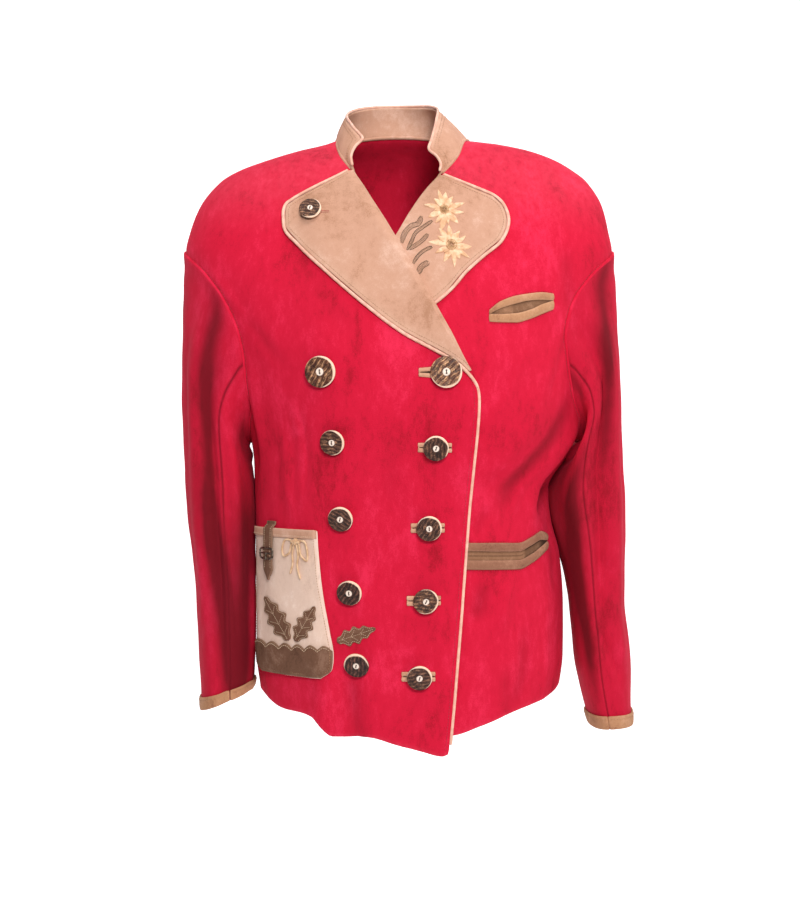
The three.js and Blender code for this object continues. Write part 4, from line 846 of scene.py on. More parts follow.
# ---- Seams' topstitching ----
# Red thread holds the seam allowances down beside the armholes, shoulders and sides.
rows = []
heights = np.linspace(-132, -342, 120)
for side in (-1, 1):
    for key, way in (("front", -1), ("back", 1)):
        turn = side * (curve(ARMHOLE, "z", key, heights) + way * 3.6 / MM_PER_DEGREE)
        over_lap = key == "front" and side < 0
        sink = lap_lift(body_skin(turn, heights)[:, 0], heights) if over_lap else heights * 0
        rows.append(on_line(on_body, turn, heights, sink))
    for z_from, z_to in ((-126, -4), (-352, -628)):
        z = np.linspace(z_from, z_to, 120)
        rows.append(on_line(on_body, side * (SIDE + 3.2 / MM_PER_DEGREE) + z * 0, z))
stitches("seam_stitches", rows, red_thread, 3.2, 2.5, 0.3)

# ---- Seam allowances ----
# Behind each armhole and behind the back's neckline the seam's turned-in edges lie as a thick
# soft roll, which closes the seam from within.
heights = np.linspace(-126.5, -347.5, 90)
for word, side in (("right", -1), ("left", 1)):
    front = body_skin(side * curve(ARMHOLE, "z", "front", heights), heights)
    behind = body_skin(side * curve(ARMHOLE, "z", "back", heights[::-1]), heights[::-1])
    line = resample(np.concatenate([front, behind[1:]]), 3.0)
    out = unit((line - [side * 85.0, 0, -237]) * [0.2, 1, 1])
    tube(f"armhole_allowance_{word}", line + [side * 0.8, 0, 0] - out * 1.2, out, 2.6, red)

# ---- Cuff bands ----
# A band of tan suede binds each cuff, stitched along its upper edge and open at a short vent.
CUFF_BAND, CUFF_BAND_SIT, CUFF_BAND_THICK, CUFF_VENT = 12.5, 0.6, 1.8, 3.0
vent = CUFF_VENT / 2 / SLEEVE_MM_PER_DEGREE
angle = np.linspace(FRONT_SEAM + vent - 360, FRONT_SEAM - vent, 130)
downs = np.linspace(1 - CUFF_BAND / SLEEVE_LENGTH, 1, 10)[:, None]
puff = 0.5 * np.sin(np.pi * np.linspace(0, 1, 10))[:, None, None]
for word, side, guides, folds, _ in SLEEVES:
    skin = sleeve_point(side, guides, folds, angle, downs)
    out = sleeve_out(side, skin)
    inner = skin + out * (SUEDE + CUFF_BAND_SIT)
    outer = skin + out * (SUEDE + CUFF_BAND_SIT + CUFF_BAND_THICK + puff)
    cloth(
        f"cuff_binding_{word}", f"cuff_band_{word}", "suede_tan", outer, inner, welt_suede,
        held="laid", rests_on=[f"sleeve_upper_part_{word}"],
    )
    stitches(f"cuff_stitches_{word}", [(outer[2], out[2])], tan_thread, 3.4, 2.6, 0.3)

# ---- Lapels ----
# Broad lapels of tan suede, turned over at the roll line: a soft roll along it, flat towards
# the outer edge, which is piped and has one row of stitching inside it.
BROAD_SIT, LAPEL_THICK, LAPEL_SWELL = 1.4, 2.2, 3.4
ROLLS = "roll_x roll_z edge_x edge_z puff"
RIGHT_LAPEL = table(ROLLS, [
    (-49, -39, -113, -74, 1), (-45, -46, -123, -84, 1), (-38, -57, -123, -101, 1), (-24, -82, -106, -125, 1),
    (6, -132, -50, -177, 1), (38, -187, 6, -222, 1), (64, -234, 50, -246, 0.8), (76, -255, 72, -259, 0.4),
    (83, -267, 81, -268, 0.2),
])
LEFT_LAPEL = table(ROLLS, [
    (52, -45, 111, -70, 1), (48, -50, 122, -82, 1), (41, -58, 126, -98, 0.9), (31, -71, 121, -115, 0.7),
    (18, -92, 100, -135, 0.2), (4, -117, 76, -157, 0), (-10, -136, 50, -186, 0), (-24, -155, 20, -202, 0),
])
for lines in (RIGHT_LAPEL, LEFT_LAPEL):
    lines["at"] = np.linspace(0, 1, len(lines["puff"]))
# The section of the roll: distance over the front and lift off it, on the outer and inner face.
ROLL = table("outer_over outer_lift inner_over inner_lift", [
    (-3, -1.8, -0.6, -1.8), (-2.4, 2.6, -0.5, 1.2), (1.5, 4.8, 2.2, 2.6),
])
LAPEL_ACROSS = np.array([0.1, 0.2, 0.36, 0.56, 0.78, 1])


def lapel_size(width):
    """How large the roll and its swell are: whole where the lapel is 22 mm wide or more."""
    return np.minimum(1, width / 22)


def lapel_swell(puff, width, over):
    """How high a lapel swells at a distance over from its roll: a bell 24 mm wide."""
    return LAPEL_SWELL * puff * lapel_size(width) * bell(over, 24)


def lapel_grids(lines, place, downs, count):
    """Both faces of a lapel. Each row starts with the roll's section and runs straight to the
    outer edge, swelling near the roll; a smooth curve joins the section's points."""
    roll_x, roll_z, edge_x, edge_z, puff = (
        curve(lines, "at", key, downs)[:, None] for key in ROLLS.split()
    )
    run_x, run_z = edge_x - roll_x, edge_z - roll_z
    width = np.hypot(run_x, run_z)
    size = lapel_size(width)
    across = LAPEL_ACROSS[None] * width
    knots = np.linspace(0, 1, len(ROLL["outer_over"]) + len(LAPEL_ACROSS))
    fine = np.linspace(0, 1, count) ** 1.15
    faces = []
    for face, base in (("outer", BROAD_SIT + LAPEL_THICK), ("inner", BROAD_SIT)):
        over = np.concatenate([ROLL[face + "_over"][None] * size, np.maximum(across, 3.6 * size)], 1)
        roll_lift = base + (ROLL[face + "_lift"][None] - base) * puff
        lift = np.concatenate([roll_lift, base + lapel_swell(puff, width, across)], 1)
        over, lift = (
            np.stack([curve(dict(at=knots, row=row), "at", "row", fine) for row in values])
            for values in (over, lift)
        )
        faces.append(place(roll_x + run_x * over / width, roll_z + run_z * over / width, lift))
    return faces, width


def lapel_lift(lines, x, z):
    """How high the lapel's outer face lies over the front at x and z: its sit and wall plus the
    swell beside the roll, found on the nearest of many rows."""
    downs = np.linspace(0, 1, 120)
    roll_x, roll_z, edge_x, edge_z, puff = (curve(lines, "at", key, downs) for key in ROLLS.split())
    run_x, run_z = edge_x - roll_x, edge_z - roll_z
    width = np.hypot(run_x, run_z)
    from_x, from_z = x[..., None] - roll_x, z[..., None] - roll_z
    nearest = (np.abs(from_x * run_z - from_z * run_x) / width).argmin(-1)
    over = (from_x * run_x + from_z * run_z) / width
    over = np.take_along_axis(over, nearest[..., None], -1)[..., 0]
    return BROAD_SIT + LAPEL_THICK + lapel_swell(puff[nearest], width[nearest], over)


def lapel_border(lines, edge_parts, aside):
    """A line beside the lapel's border, out by aside: along the top edge and down the outer edge."""
    roll_x, roll_z, edge_x, edge_z = (
        curve(lines, "at", key, np.r_[0, 0.4, edge_parts]) for key in ROLLS.split()[:4]
    )
    roll, edge = np.stack([roll_x, roll_z], -1), np.stack([edge_x, edge_z], -1)
    top = np.array([0.06, 0.3, 0.55, 0.8])[:, None]
    path = np.concatenate([roll[:1] * (1 - top) + edge[:1] * top, edge[2:]])
    run = unit(np.concatenate([path[1:], path[-1:]]) - np.concatenate([path[:1], path[:-1]]))
    way = np.stack([-run[:, 1], run[:, 0]], -1)
    middle = (roll[1] + edge[1]) / 2
    way = np.where(((path - middle) * way).sum(1, keepdims=True) < 0, -way, way)
    return smooth_path(path + way * aside, 1.2)


PIPING_RADIUS, PIPING_BESIDE = 1.4, 2.6
PIPING_PARTS = {
    "right": [0.02, 0.08, 0.14, 0.2, 0.28, 0.37, 0.46, 0.55, 0.64, 0.73, 0.82, 0.9, 0.96, 0.995],
    "left": [0.02, 0.1, 0.18, 0.27, 0.36, 0.46, 0.58, 0.7, 0.8, 0.9, 0.99],
}
downs = np.r_[np.linspace(0, 0.06, 8)[:-1], np.linspace(0.06, 1, 96)]
piping_line = {}
for word, lines, place in (("right", RIGHT_LAPEL, on_right), ("left", LEFT_LAPEL, on_left)):
    (outer, inner), width = lapel_grids(lines, place, downs, 56)
    wear_and_highlight = 0.45 * bell((1 - np.linspace(0, 1, 56) ** 1.15) * width, 4)
    cloth(
        f"{word}_lapel", f"lapel_{word}", "suede_tan", outer, inner, tan, 0.25, wear_and_highlight,
        held="folded", rests_on=[f"{word}_front"],
    )
    x, z = lapel_border(lines, PIPING_PARTS[word], PIPING_BESIDE).T
    line, out = on_line(place, x, z, BROAD_SIT + PIPING_RADIUS)
    piping_line[word] = line
    tube(
        f"lapel_piping_{word}", line, out, 1.9, piping_leather, 14,
        f"piping_lapel_{word}",
    )
    x, z = lapel_border(lines, PIPING_PARTS[word], -3.4).T
    rows = [on_line(place, x, z, lapel_lift(lines, x, z))]
    stitches(f"lapel_stitches_{word}", rows, tan_thread, 3.0, 2.3, 0.3)

# The right front's edge is piped on from the lapel's piping to the hem.
z = np.array([-268, -275, -282, -290, -297, -306, -330, -370, -411, -455, -500, -545, -590, -635, -665, -690])
x, z = smooth_path(np.stack([curve(RIGHT_EDGE, "z", "x", z) + PIPING_BESIDE - 0.6, z], -1), 2).T
line = on_right(x, z, -SUEDE / 2)
line = smooth_path(np.concatenate([piping_line["right"][-4:], line[line[:, 2] < -286][::6]]), 2)
out = on_line(on_right, line[:, 0], line[:, 2])[1]
tube("front_edge_piping", line, out, 1.75, piping_leather, 14, "piping_front")
stitches("front_edge_stitches", [on_line(on_right, x - 5.2, z)], red_thread, 3.2, 2.5, 0.28)

# ---- Collar ----
# A stand collar of tan suede, stiffened, piped along its top edge and its hollowed front ends
# and stitched inside them. It leans in towards the neck.
COLLAR_TOP = table("part x y z", [
    (-1, -38, -46, 1), (-0.82, -50, -33, 15), (-0.6, -58, -4, 31), (-0.3, -42, 37, 45), (0, -3, 54, 50),
    (0.3, 37, 37, 48), (0.6, 52, -4, 38), (0.82, 48, -33, 16), (1, 40, -48, -12),
])
COLLAR_SIDE, COLLAR_GAP, COLLAR_THICK = 0.6, 1.8, 3.0
LEVEL = np.array([1, 1, 0])


def neckline(part):
    """The neckline: round the back over the middle part, down the fronts' edges beyond it."""
    turn = 180 - SIDE * np.clip(part / COLLAR_SIDE, -1, 1)
    behind = body_skin(turn, neck_height(turn))
    run = np.clip((np.abs(part) - COLLAR_SIDE) / (1 - COLLAR_SIDE), 0, 1)
    z = 4 + (np.where(part < 0, -39, -45) - 4) * run**1.4
    x = np.where(part < 0, curve(RIGHT_EDGE, "z", "x", z), curve(LEFT_EDGE, "z", "x", z))
    return np.where((np.abs(part) <= COLLAR_SIDE)[..., None], behind, body_skin(turn_at(x, z), z))


def collar_point(part, up):
    """The collar between the neckline and its top edge, with a small belly, its ends hollowed."""
    part, up = np.broadcast_arrays(part, up)
    seam = neckline(part)
    top = np.stack([curve(COLLAR_TOP, "part", key, part) for key in "xyz"], -1)
    foot = seam + unit(top - seam) * COLLAR_GAP
    point = foot + (top - foot) * up[..., None]
    belly = np.sin(np.pi * up)
    point = point + unit(point * LEVEL) * (1.5 * belly)[..., None]
    point[..., 0] += np.sign(part) * 7 * smoothstep(np.abs(part), 0.86, 1) * belly
    return point


ups = np.linspace(0, 1, 22)[:, None]
outer = collar_point(np.linspace(-1, 1, 181)[None], ups)
cloth(
    "stand_collar", "collar", "suede_tan", outer, offset(outer, COLLAR_THICK), tan, 0.45,
    0.4 * bell(1 - ups, 0.1), held="folded", rests_on=["back_panel"],
)
seam = neckline(np.linspace(-0.97, 0.97, 150))
out = unit(seam * LEVEL)
tube("neck_seam_allowance", seam + [0, 0, 0.6] - out * 2.0, out, 2.2, tan)
rises = np.array([0.15, 0.4, 0.7, 0.97])
begin = collar_point(-np.ones(4), rises) + [1.8, -1.8, 1.2]
end = collar_point(np.ones(4), rises[::-1]) + [-1.8, -1.8, 1.2]
crown = collar_point(np.linspace(-1, 1, 37)[1:-1], np.ones(35))
crown = crown + unit(-crown * LEVEL) * COLLAR_THICK / 2 + [0, 0, PIPING_BESIDE - 0.5]
line = smooth_path(np.concatenate([begin, crown, end]), 1.5)
out = unit(line * LEVEL + [0, -1, 30])
tube(
    "collar_edge_piping", line, out, PIPING_RADIUS + 0.2, piping_leather, 12,
    "piping_collar",
)
rows = []
for inset in (0.1, 0.19):
    side_up = np.linspace(0.12, 1 - inset, 30)
    part_in = 1 - inset * 0.36
    ends = np.full(30, part_in)
    part_line = np.concatenate([-ends, np.linspace(-part_in, part_in, 200), ends])
    up_line = np.concatenate([side_up, np.full(200, 1 - inset), side_up[::-1]])
    line = resample(collar_point(part_line, up_line), 2)
    out = unit(line * LEVEL + [0, -1e-3, 0])
    rows.append((line + out * 0.15, out))
stitches("collar_stitches", rows, tan_thread, 3.0, 2.3, 0.28)

# ---- Welt pockets ----
# A breast and a hip pocket on the left front, each cut through the suede and bound with two
# welts of tan suede. The mouth gapes and shows the pocket's brown inside.
POCKETS = "x top mouth_top mouth_bottom bottom"
BREAST_POCKET = table(POCKETS, [
    (106, -199.6, -203.4, -204.6, -212), (118, -190.4, -197, -204.6, -212.5),
    (135, -184, -191.5, -203.5, -212.5), (152, -180.8, -187.5, -199, -208),
    (166, -179.3, -186.6, -192.5, -202), (178, -180.3, -187, -188.4, -197),
])
HIP_POCKET = table(POCKETS, [
    (72, -460, -468, -479, -488), (95, -460.5, -468.5, -480, -489), (118, -461, -469.5, -480.5, -489.5),
    (140, -462, -470, -481, -490), (155, -456, -464, -475, -484), (166, -450.6, -459, -468, -476.5),
    (174, -454, -460.5, -462.5, -470),
])
# The welts' inner and outer faces and the pocket's depth lie this high over the front.
WELT_FOOT, WELT_FACE, DEPTH_FACE = 0.3, 2.1, 1.2


def shaded(*settings):
    """Suede whose shade attribute darkens it with painted shade into a pocket's depth and a buttonhole's
    slit.
    """
    material = suede(*settings, 40, 0.9, 0.1)
    tree = material.node_tree
    shader = tree.nodes["Principled BSDF"]
    before = shader.inputs["Base Color"].links[0].from_socket
    feed(tree, shader, {"Base Color": mix(tree, attribute(tree, "shade"), before, rgb("24120a"))})
    return material


inside_suede = shaded("pocket_inside_suede", "6e4c38", "8a6248", "a67c60", "c8a888")
bound_suede = shaded("buttonhole_suede", "a8745a", "c6967a", "d8ac90", "e4c0a8")
laid_on_left = dict(held="laid", rests_on=["left_front"])
laid_on_right = dict(held="laid", rests_on=["right_front"])


def strip(lines, upper, lower, low_lift, high_lift, ridge):
    """Both faces of a strip between two height columns, its outer face arched by sin(pi up)."""
    x = np.linspace(lines["x"][0], lines["x"][-1], 90)[None]
    up = np.linspace(0, 1, 9)[:, None]
    low, high = curve(lines, "x", lower, x), curve(lines, "x", upper, x)
    z = low + (high - low) * up
    return on_left(x, z, high_lift + ridge * np.sin(np.pi * up)), on_left(x, z, low_lift), up


rows = []
for word, lines, bound in (("breast", BREAST_POCKET, welt_suede), ("hip", HIP_POCKET, hip_suede)):
    for welt, upper, lower in (("upper_welt", "top", "mouth_top"), ("lower_welt", "mouth_bottom", "bottom")):
        outer, inner, up = strip(lines, upper, lower, WELT_FOOT, WELT_FACE, 0.9)
        wear_and_highlight = 0.3 * bell(np.minimum(up, 1 - up), 0.16)
        cloth(
            f"{word}_{welt}", f"{word}_pocket_{welt}", "suede_tan", outer, inner, bound, 0.5, wear_and_highlight,
            **laid_on_left,
        )
    outer, inner, up = strip(lines, "mouth_top", "mouth_bottom", 0.4, DEPTH_FACE, 0)
    x = np.linspace(0, 1, 90)[None]
    # Painted shade under the upper welt, over the lower one and in the gapes at its ends. The inside also
    # darkens in a step along its length, and the hip pocket's left part has a dark line along its middle.
    shade = 0.6 * bell(1 - up, 0.18) + 0.4 * bell(up, 0.14)
    if word == "breast":
        shade = shade + 0.22 * smoothstep(x, 0.33, 0.37) + 0.7 * smoothstep(x, 0.82, 1)
        shade = shade + 0.7 * (1 - smoothstep(x, 0, 0.16))
    else:
        shade = shade + 0.5 * smoothstep(x, 0.71, 0.75) + 0.5 * smoothstep(x, 0.86, 0.97)
        shade = shade + 0.5 * bell(up - 0.5, 0.05) * (1 - smoothstep(x, 0.7, 0.74))
    cloth(
        f"{word}_pocket_depth", f"{word}_pocket_inside", "leather_brown", outer, inner, inside_suede,
        0.1, shade=np.clip(shade, 0, 0.95), **laid_on_left,
    )
    x = np.linspace(lines["x"][0] - 2, lines["x"][-1] + 1.5, 160)
    for key, way in (("top", 2.0), ("bottom", -2.0)):
        rows.append(on_line(on_left, x, curve(lines, "x", key, x) + way))
stitches("pocket_stitches", rows, red_thread, 3.2, 2.5, 0.28)

# ---- Buttonholes ----
# Five bound buttonholes on the right front: two lips of tan suede that meet in a dark slit.
# Each button's x, z, radius, tilt, grain, cut and fairness: the outer column, then the inner.
BUTTONS = [
    (-79.5, -268, 17.5, 0, 62, 20, 0.7), (-65.5, -346, 14, 6, -8, 15, 0.3),
    (-57, -431, 14, 10, -32, 50, 0.12), (-47.5, -514, 14, 16, 58, 40, 0.0),
    (-39, -593, 14, 20, 84, 100, 0.0), (56, -269.5, 17.5, 0, 48, 310, 1.0),
    (45, -352, 14, 6, 86, 60, 0.15), (37, -442, 14, 10, 60, 45, 0.2),
    (33, -523, 14, 14, -6, 350, 0.45), (27, -607, 14, 18, 12, 50, 0.2),
]
LIPS = table("up thick", [(-0.5, 0.5), (-0.3, 1), (0, 0.4), (0.3, 1), (0.5, 0.5)])
rows = []
for number, (x0, z0, *_) in enumerate(BUTTONS[5:], 1):
    first = number == 1
    begin, end, low_half, high_half = (-29, 9, 4.4, 7.6) if first else (-18.6, 17, 4.9, 4.9)
    up = np.linspace(-1, 1, 33)[:, None]
    part = np.linspace(0, 1, 48)[None]
    half = low_half + (high_half - low_half) * part
    x, z = x0 + begin + (end - begin) * part + 0 * up, z0 + half * up
    slit = 0.05 + (0.42 * part if first else 0.05 * part)
    open_part = 1 - smoothstep(np.abs(up), slit, slit + 0.09)
    thick = curve(LIPS, "up", "thick", up / 2) * (1 - 0.8 * open_part)
    # Painted shade: the open slit between the lips is darkened.
    shade = np.clip(open_part * smoothstep(part, 0.01, 0.05), 0, 0.96)
    cloth(
        f"bound_buttonhole_{number}", f"buttonhole_{number}", "suede_tan",
        on_right(x, z, 0.4 + 1.4 * thick), on_right(x, z, 0.1), bound_suede, 0.4, shade=shade,
        **laid_on_right,
    )
    left, right, low, high = begin - 0.9, end + 0.9, low_half + 0.9, high_half + 0.9
    corners = np.array([(left, -low), (right, -high), (right, high), (left, low), (left, -low)])
    x, z = resample(corners + [x0, z0], 1.5).T
    rows.append(on_line(on_right, x, z))
stitches("buttonhole_stitches", rows, red_thread, 2.8, 2.1, 0.24)

# ---- Horn buttons ----
# Slices of stag horn: dark ridged bark on the face, pale where the rim is cut and where the
# boss in the middle is turned. Two holes take the thread.
horn, tree, shader = new_material("stag_horn")
tint = node(tree, "Attribute", attribute_name="tint").outputs
place = node(tree, "TexCoord").outputs["Object"]
specks = noise(tree, place, 1400, 4, 0.7)
shade = node(tree, "MapRange", {"Value": specks, "To Min": 0.72, "To Max": 1.25}).outputs["Result"]
blots = {"Value": noise(tree, place, 330, 5, 0.75, 1.2), "From Min": 0.42, "From Max": 0.58}
blots = node(tree, "MapRange", {**blots, "To Min": 0.3, "To Max": 1.6}).outputs["Result"]
barked = combine(tree, "MULTIPLY", blots, shade)
on_bark = node(tree, "Mix", {0: tint["Alpha"], 2: shade, 3: barked}).outputs[0]
spotted = node(tree, "VectorMath", {0: tint["Color"], "Scale": on_bark}, operation="SCALE")
feed(tree, shader, {
    "Base Color": spotted.outputs["Vector"], "Roughness": 0.5, "Specular IOR Level": 0.3,
    "Normal": bump(tree, 0.4, 0.0003, specks),
})

BARK = [np.array(rgb(code)[:3]) for code in ("26110c", "50291c", "70483a", "cc9a70")]
dark_thread = fibre("dark_thread", "34201a", "563a2c")
BONE, RIM = np.array(rgb("f0dccc")[:3]), np.array(rgb("e4bc9a")[:3])


def mix3(a, b, part):
    """Two colours mixed by a part of each point."""
    return a + (b - a) * part[..., None]


def turned(u, v, degrees):
    """A place on axes turned by an angle: how far along and how far aside."""
    cosine, sine = np.cos(np.radians(degrees)), np.sin(np.radians(degrees))
    return u * cosine + v * sine, v * cosine - u * sine


SPOKES = 96
# The rim and the back of a button: part of its radius, and height along its own axis.
BUTTON_SIDE = [(1.0, 2.4), (1.01, 1.6), (0.98, 0.9), (0.9, 0.7), (0.16, 0.7)]


def horn_button(name, solid, x, z, lift, radius, tilt, grain, cut, fair, under):
    """A button: rings from the middle of the face over the rim to the middle of the back. The
    face is a disc with ridges running along grain, a slanting pale cut on the side at angle cut,
    and a boss with two holes; fair from 0 to 1 makes the bark lighter."""
    foot = on_right(np.array([x]), np.array([z]), lift)[0]
    out = unit(on_right(np.array([x]), np.array([z]), lift + 8)[0] - foot)
    raise_by = radius * np.sin(np.radians(tilt)) + 1.9
    facing = np.array([out[0], *turned(out[1], out[2], -tilt)])
    right = unit(np.cross([0, 0, 1.0], facing))
    upward = np.cross(facing, right)
    middle = foot + out * (raise_by + 0.4 + under)
    face = np.linspace(0.02, 1, 34)[:, None] ** 0.9
    turn = np.linspace(0, 2 * np.pi, SPOKES, endpoint=False)
    u, v = face * np.cos(turn), face * np.sin(turn)
    along, aside = turned(u, v, grain)
    wave = aside * 21 + 0.9 * np.sin(along * 4 + grain) + 0.5 * np.sin(along * 9 - cut)
    ridge = 0.5 * np.sin(wave) + 0.3 * np.sin(wave * 2.3 + along * 6) + 0.2 * np.sin(aside * 41 + along * 3)
    boss = smoothstep(0.27 - face, 0, 0.05) + 0 * u
    rim = smoothstep(face, 0.93, 0.97) + 0 * u
    cut_u, cut_v = np.cos(np.radians(cut)), np.sin(np.radians(cut))
    away = np.hypot(u + 0.1 * cut_u, v + 0.1 * cut_v)
    cut_on = smoothstep(away + 0.02 * np.sin(turn * 5 + cut), 0.95, 0.99)
    slope = np.clip(u * cut_u + v * cut_v - 0.62, 0, 1)
    bark = (1 - boss) * (1 - rim) * (1 - cut_on)
    height = 3.9 + 0.42 * ridge * bark + 1.1 * boss - 0.5 * rim - 2.2 * cut_on * slope
    slot = 80 + 16 * np.sin(cut)
    over, beside = turned(u, v, slot)
    hole = np.exp(-(((np.abs(over) - 0.1) ** 2 + beside**2) / 0.05**2)) * boss
    height = height - 1.4 * hole
    level = np.clip(0.5 + 0.5 * ridge + 0.25 * np.sin(u * 7 + cut) * np.sin(v * 6 + grain), 0, 1)
    dark, light = (BARK[k] + (BARK[k + 1] - BARK[k]) * fair for k in (0, 2))
    tint = mix3(dark, light, level**2.6)
    tint = mix3(tint, RIM, cut_on)
    tint = mix3(tint, BONE, np.maximum(boss, cut_on * 0.5 * smoothstep(face, 0.8, 1)))
    # Painted shade: the thread holes are darkened to the darkest bark colour.
    tint = mix3(tint, BARK[0], np.clip(1.3 * hole, 0, 1))
    side = np.array([*BUTTON_SIDE, (0.15, -raise_by + 0.2), (0.02, -raise_by + 0.1)])
    scale, side_height = side[:, :1], np.minimum(side[:, 1:], height[-1].min() - 0.2)
    u = np.concatenate([u, scale * np.cos(turn)])[..., None]
    v = np.concatenate([v, scale * np.sin(turn)])[..., None]
    height = np.concatenate([height, side_height + 0 * turn])[..., None]
    spot = middle + (u * right + v * upward) * radius + height * facing
    pale_side = np.broadcast_to(smoothstep(np.cos(turn - np.radians(cut)), 0.35, 0.75), (len(side), SPOKES))
    tint = np.concatenate([tint, mix3(BARK[1], RIM, pale_side)])
    barky = np.concatenate([(1 - boss) * (1 - cut_on), 1 - pale_side])[..., None]
    count = len(spot)
    caps = np.stack([np.arange(SPOKES), (count - 1) * SPOKES + np.arange(SPOKES)[::-1]])
    faces = [grid_faces(count, SPOKES, wrap=True)[:, ::-1], caps]
    made = piece(name, spot, faces, horn, solid)
    layer = made.data.color_attributes.new("tint", "FLOAT_COLOR", "POINT")
    layer.data.foreach_set("color", np.concatenate([tint, barky], 2).astype(np.float32).reshape(-1))
    bar = np.linspace(-0.1, 0.1, 9)[:, None]
    way = np.cos(np.radians(slot)) * right + np.sin(np.radians(slot)) * upward
    line = middle + facing * (4.7 + 0.5 * np.cos(bar / 0.1 * np.pi / 2)) + way * bar * radius
    tube(f"{name}_thread", line, np.broadcast_to(facing, line.shape), 0.55, dark_thread, 8)


for number, (x, z, *figures) in enumerate(BUTTONS):
    column, under = ("left", 0.0) if number < 5 else ("right", 1.6)
    key = f"button_{column}_{number % 5 + 1}"
    horn_button("horn_" + key, key, x, z, 0.0, *figures, under)
horn_button(
    "horn_button_lapel", "button_lapel", -94.0, -89.5, BROAD_SIT + LAPEL_THICK, 12.5, 0, -6, 330, 0.4, 0.4,
)
# A small worked slit beside the lapel's button.
rows = []
for z in (-92.4, -90.6):
    x, z = np.linspace(-83, -73, 12), np.full(12, z)
    rows.append(on_line(on_right, x, z, lapel_lift(RIGHT_LAPEL, x, z)))
stitches("lapel_slit_stitches", rows, red_thread, 1.2, 1.1, 0.4)

# ---- Patch pocket ----
# A pocket of pale suede sewn onto the right front near the side seam, with a tan binding at its
# mouth and a brown scalloped band along its foot. Its sewn edges are pressed down on the front.
PATCH = table("z side fore", [
    (-447, -159, -84), (-470, -159, -82), (-520, -159, -77), (-560, -159, -70), (-585, -158, -66),
    (-600, -156, -68), (-611, -148, -78),
])
PATCH_TOP, PATCH_FOOT, ON_PATCH, ON_BAND = -447, -611, 4.6, 6.4


def on_patch(across, z, lift):
    """A place on the patch pocket, across of the way from its side edge to its fore edge."""
    x = curve(PATCH, "z", "side", z) * (1 - across) + curve(PATCH, "z", "fore", z) * across
    return on_right(x, z, lift)


def patch_sheet(name, solid, slot, top, foot, low, high, material, arch, rows, cols, on):
    """A sheet on the pocket between two heights; its outer face is arched in the middle and dips
    near the sides and foot."""
    across = np.linspace(0, 1, cols)[None]
    down = np.linspace(0, 1, rows)[:, None]
    tall = foot - top
    z = top + tall * down + 0 * across
    edge = np.minimum(np.minimum(across, 1 - across) * 78, z - PATCH_FOOT)
    dip = 2.4 * bell(np.clip(edge, 0, None), 1.6)
    puff = 0.25 * np.sin(z / 9 + across * 4) * np.sin(across * 9 + z / 21)
    outer = on_patch(across, z, high - dip + arch * np.sin(np.pi * down) + puff)
    wear_and_highlight = 0.5 * bell(np.minimum(edge, np.minimum(down, 1 - down) * np.abs(tall)), 1.5)
    cloth(
        name, solid, slot, outer, on_patch(across, z, low), material, 0.4, wear_and_highlight,
        held="laid", rests_on=[on],
    )


def band_top(across):
    """The scalloped upper edge of the foot band: six half waves."""
    return -580 + 5 * np.abs(np.sin(np.pi * 6 * across))


patch_sheet(
    "patch_pocket_sheet", "patch_pocket", "suede_pale", PATCH_TOP, PATCH_FOOT, 0.6, 4.0, pale, 0, 60, 70,
    "right_front",
)
scallops = band_top(np.linspace(0, 1, 150)[None])
patch_sheet(
    "patch_foot_band", "patch_band", "leather_brown", scallops, -610.4, 4.2, 6.0, brown, 0.35, 24, 150,
    "patch_pocket_sheet",
)
patch_sheet(
    "patch_mouth_binding", "patch_rim", "suede_tan", -445.6, -454.5, 4.2, 5.8, tan, 0.35, 12, 70,
    "patch_pocket_sheet",
)
across, z = np.linspace(0.05, 0.95, 120), np.linspace(-449, -606, 140)
rows = [on_line(on_patch, across, -607 + 0 * across, 5.6)]
for key, inset in (("side", 2.6), ("fore", -2.6)):
    high = 3.8 + 2 * smoothstep(-z, 578, 582) + 1.6 * smoothstep(z, -456, -453)
    rows.append(on_line(on_right, curve(PATCH, "z", key, z) + inset, z, high))
stitches("patch_edge_stitches", rows, tan_thread, 3.0, 2.3, 0.32)
across = np.linspace(0.02, 0.98, 240)
level = 0 * across
out = on_line(on_patch, across, -500 + level, 4)[1]
rows = [(on_patch(across, band_top(across) - 2.2, 6.15), out), (on_patch(across, -452.6 + level, 5.9), out)]
stitches("patch_band_stitches", rows, pale_thread, 3.0, 2.3, 0.34)

# ---- Strap and buckle ----
# A brown leather strap sewn on above the pocket's mouth hangs over it through a dull metal buckle.
STRAP_X, STRAP_TOP, STRAP_LONG, STRAP_WIDE, BUCKLE_Z = -139, -438, 66, 10, -474


def under_strap(z):
    """How high the strap lies: on the front above the pocket's mouth, then on its binding, and
    bowed up through the buckle."""
    return ON_BAND - 5.0 * smoothstep(z, -446.5, -440) + 0.8 * bell(z - BUCKLE_Z, 9)


part = np.linspace(-0.5, 0.5, 14)[None]
down = np.linspace(0, 1, 60)[:, None]
z = STRAP_TOP - STRAP_LONG * down + 0 * part
x = STRAP_X + STRAP_WIDE * (1 - 0.75 * smoothstep(down, 0.82, 1)) * part
outer = on_right(x, z, under_strap(z) + 1.4 + 0.5 * np.cos(np.pi * part))
cloth(
    "patch_strap_leather", "patch_strap", "leather_brown", outer, on_right(x, z, under_strap(z)), brown,
    0.4, 0.5 * bell((0.5 - np.abs(part)) * STRAP_WIDE, 1), held="laid", rests_on=["patch_pocket_sheet"],
)
z = np.linspace(-440, -492, 60)
rows = [on_line(on_right, STRAP_X + aside + 0 * z, z, under_strap(z) + 1.6) for aside in (-3.4, 3.4)]
stitches("strap_stitches", rows, pale_thread, 2.6, 1.9, 0.26)

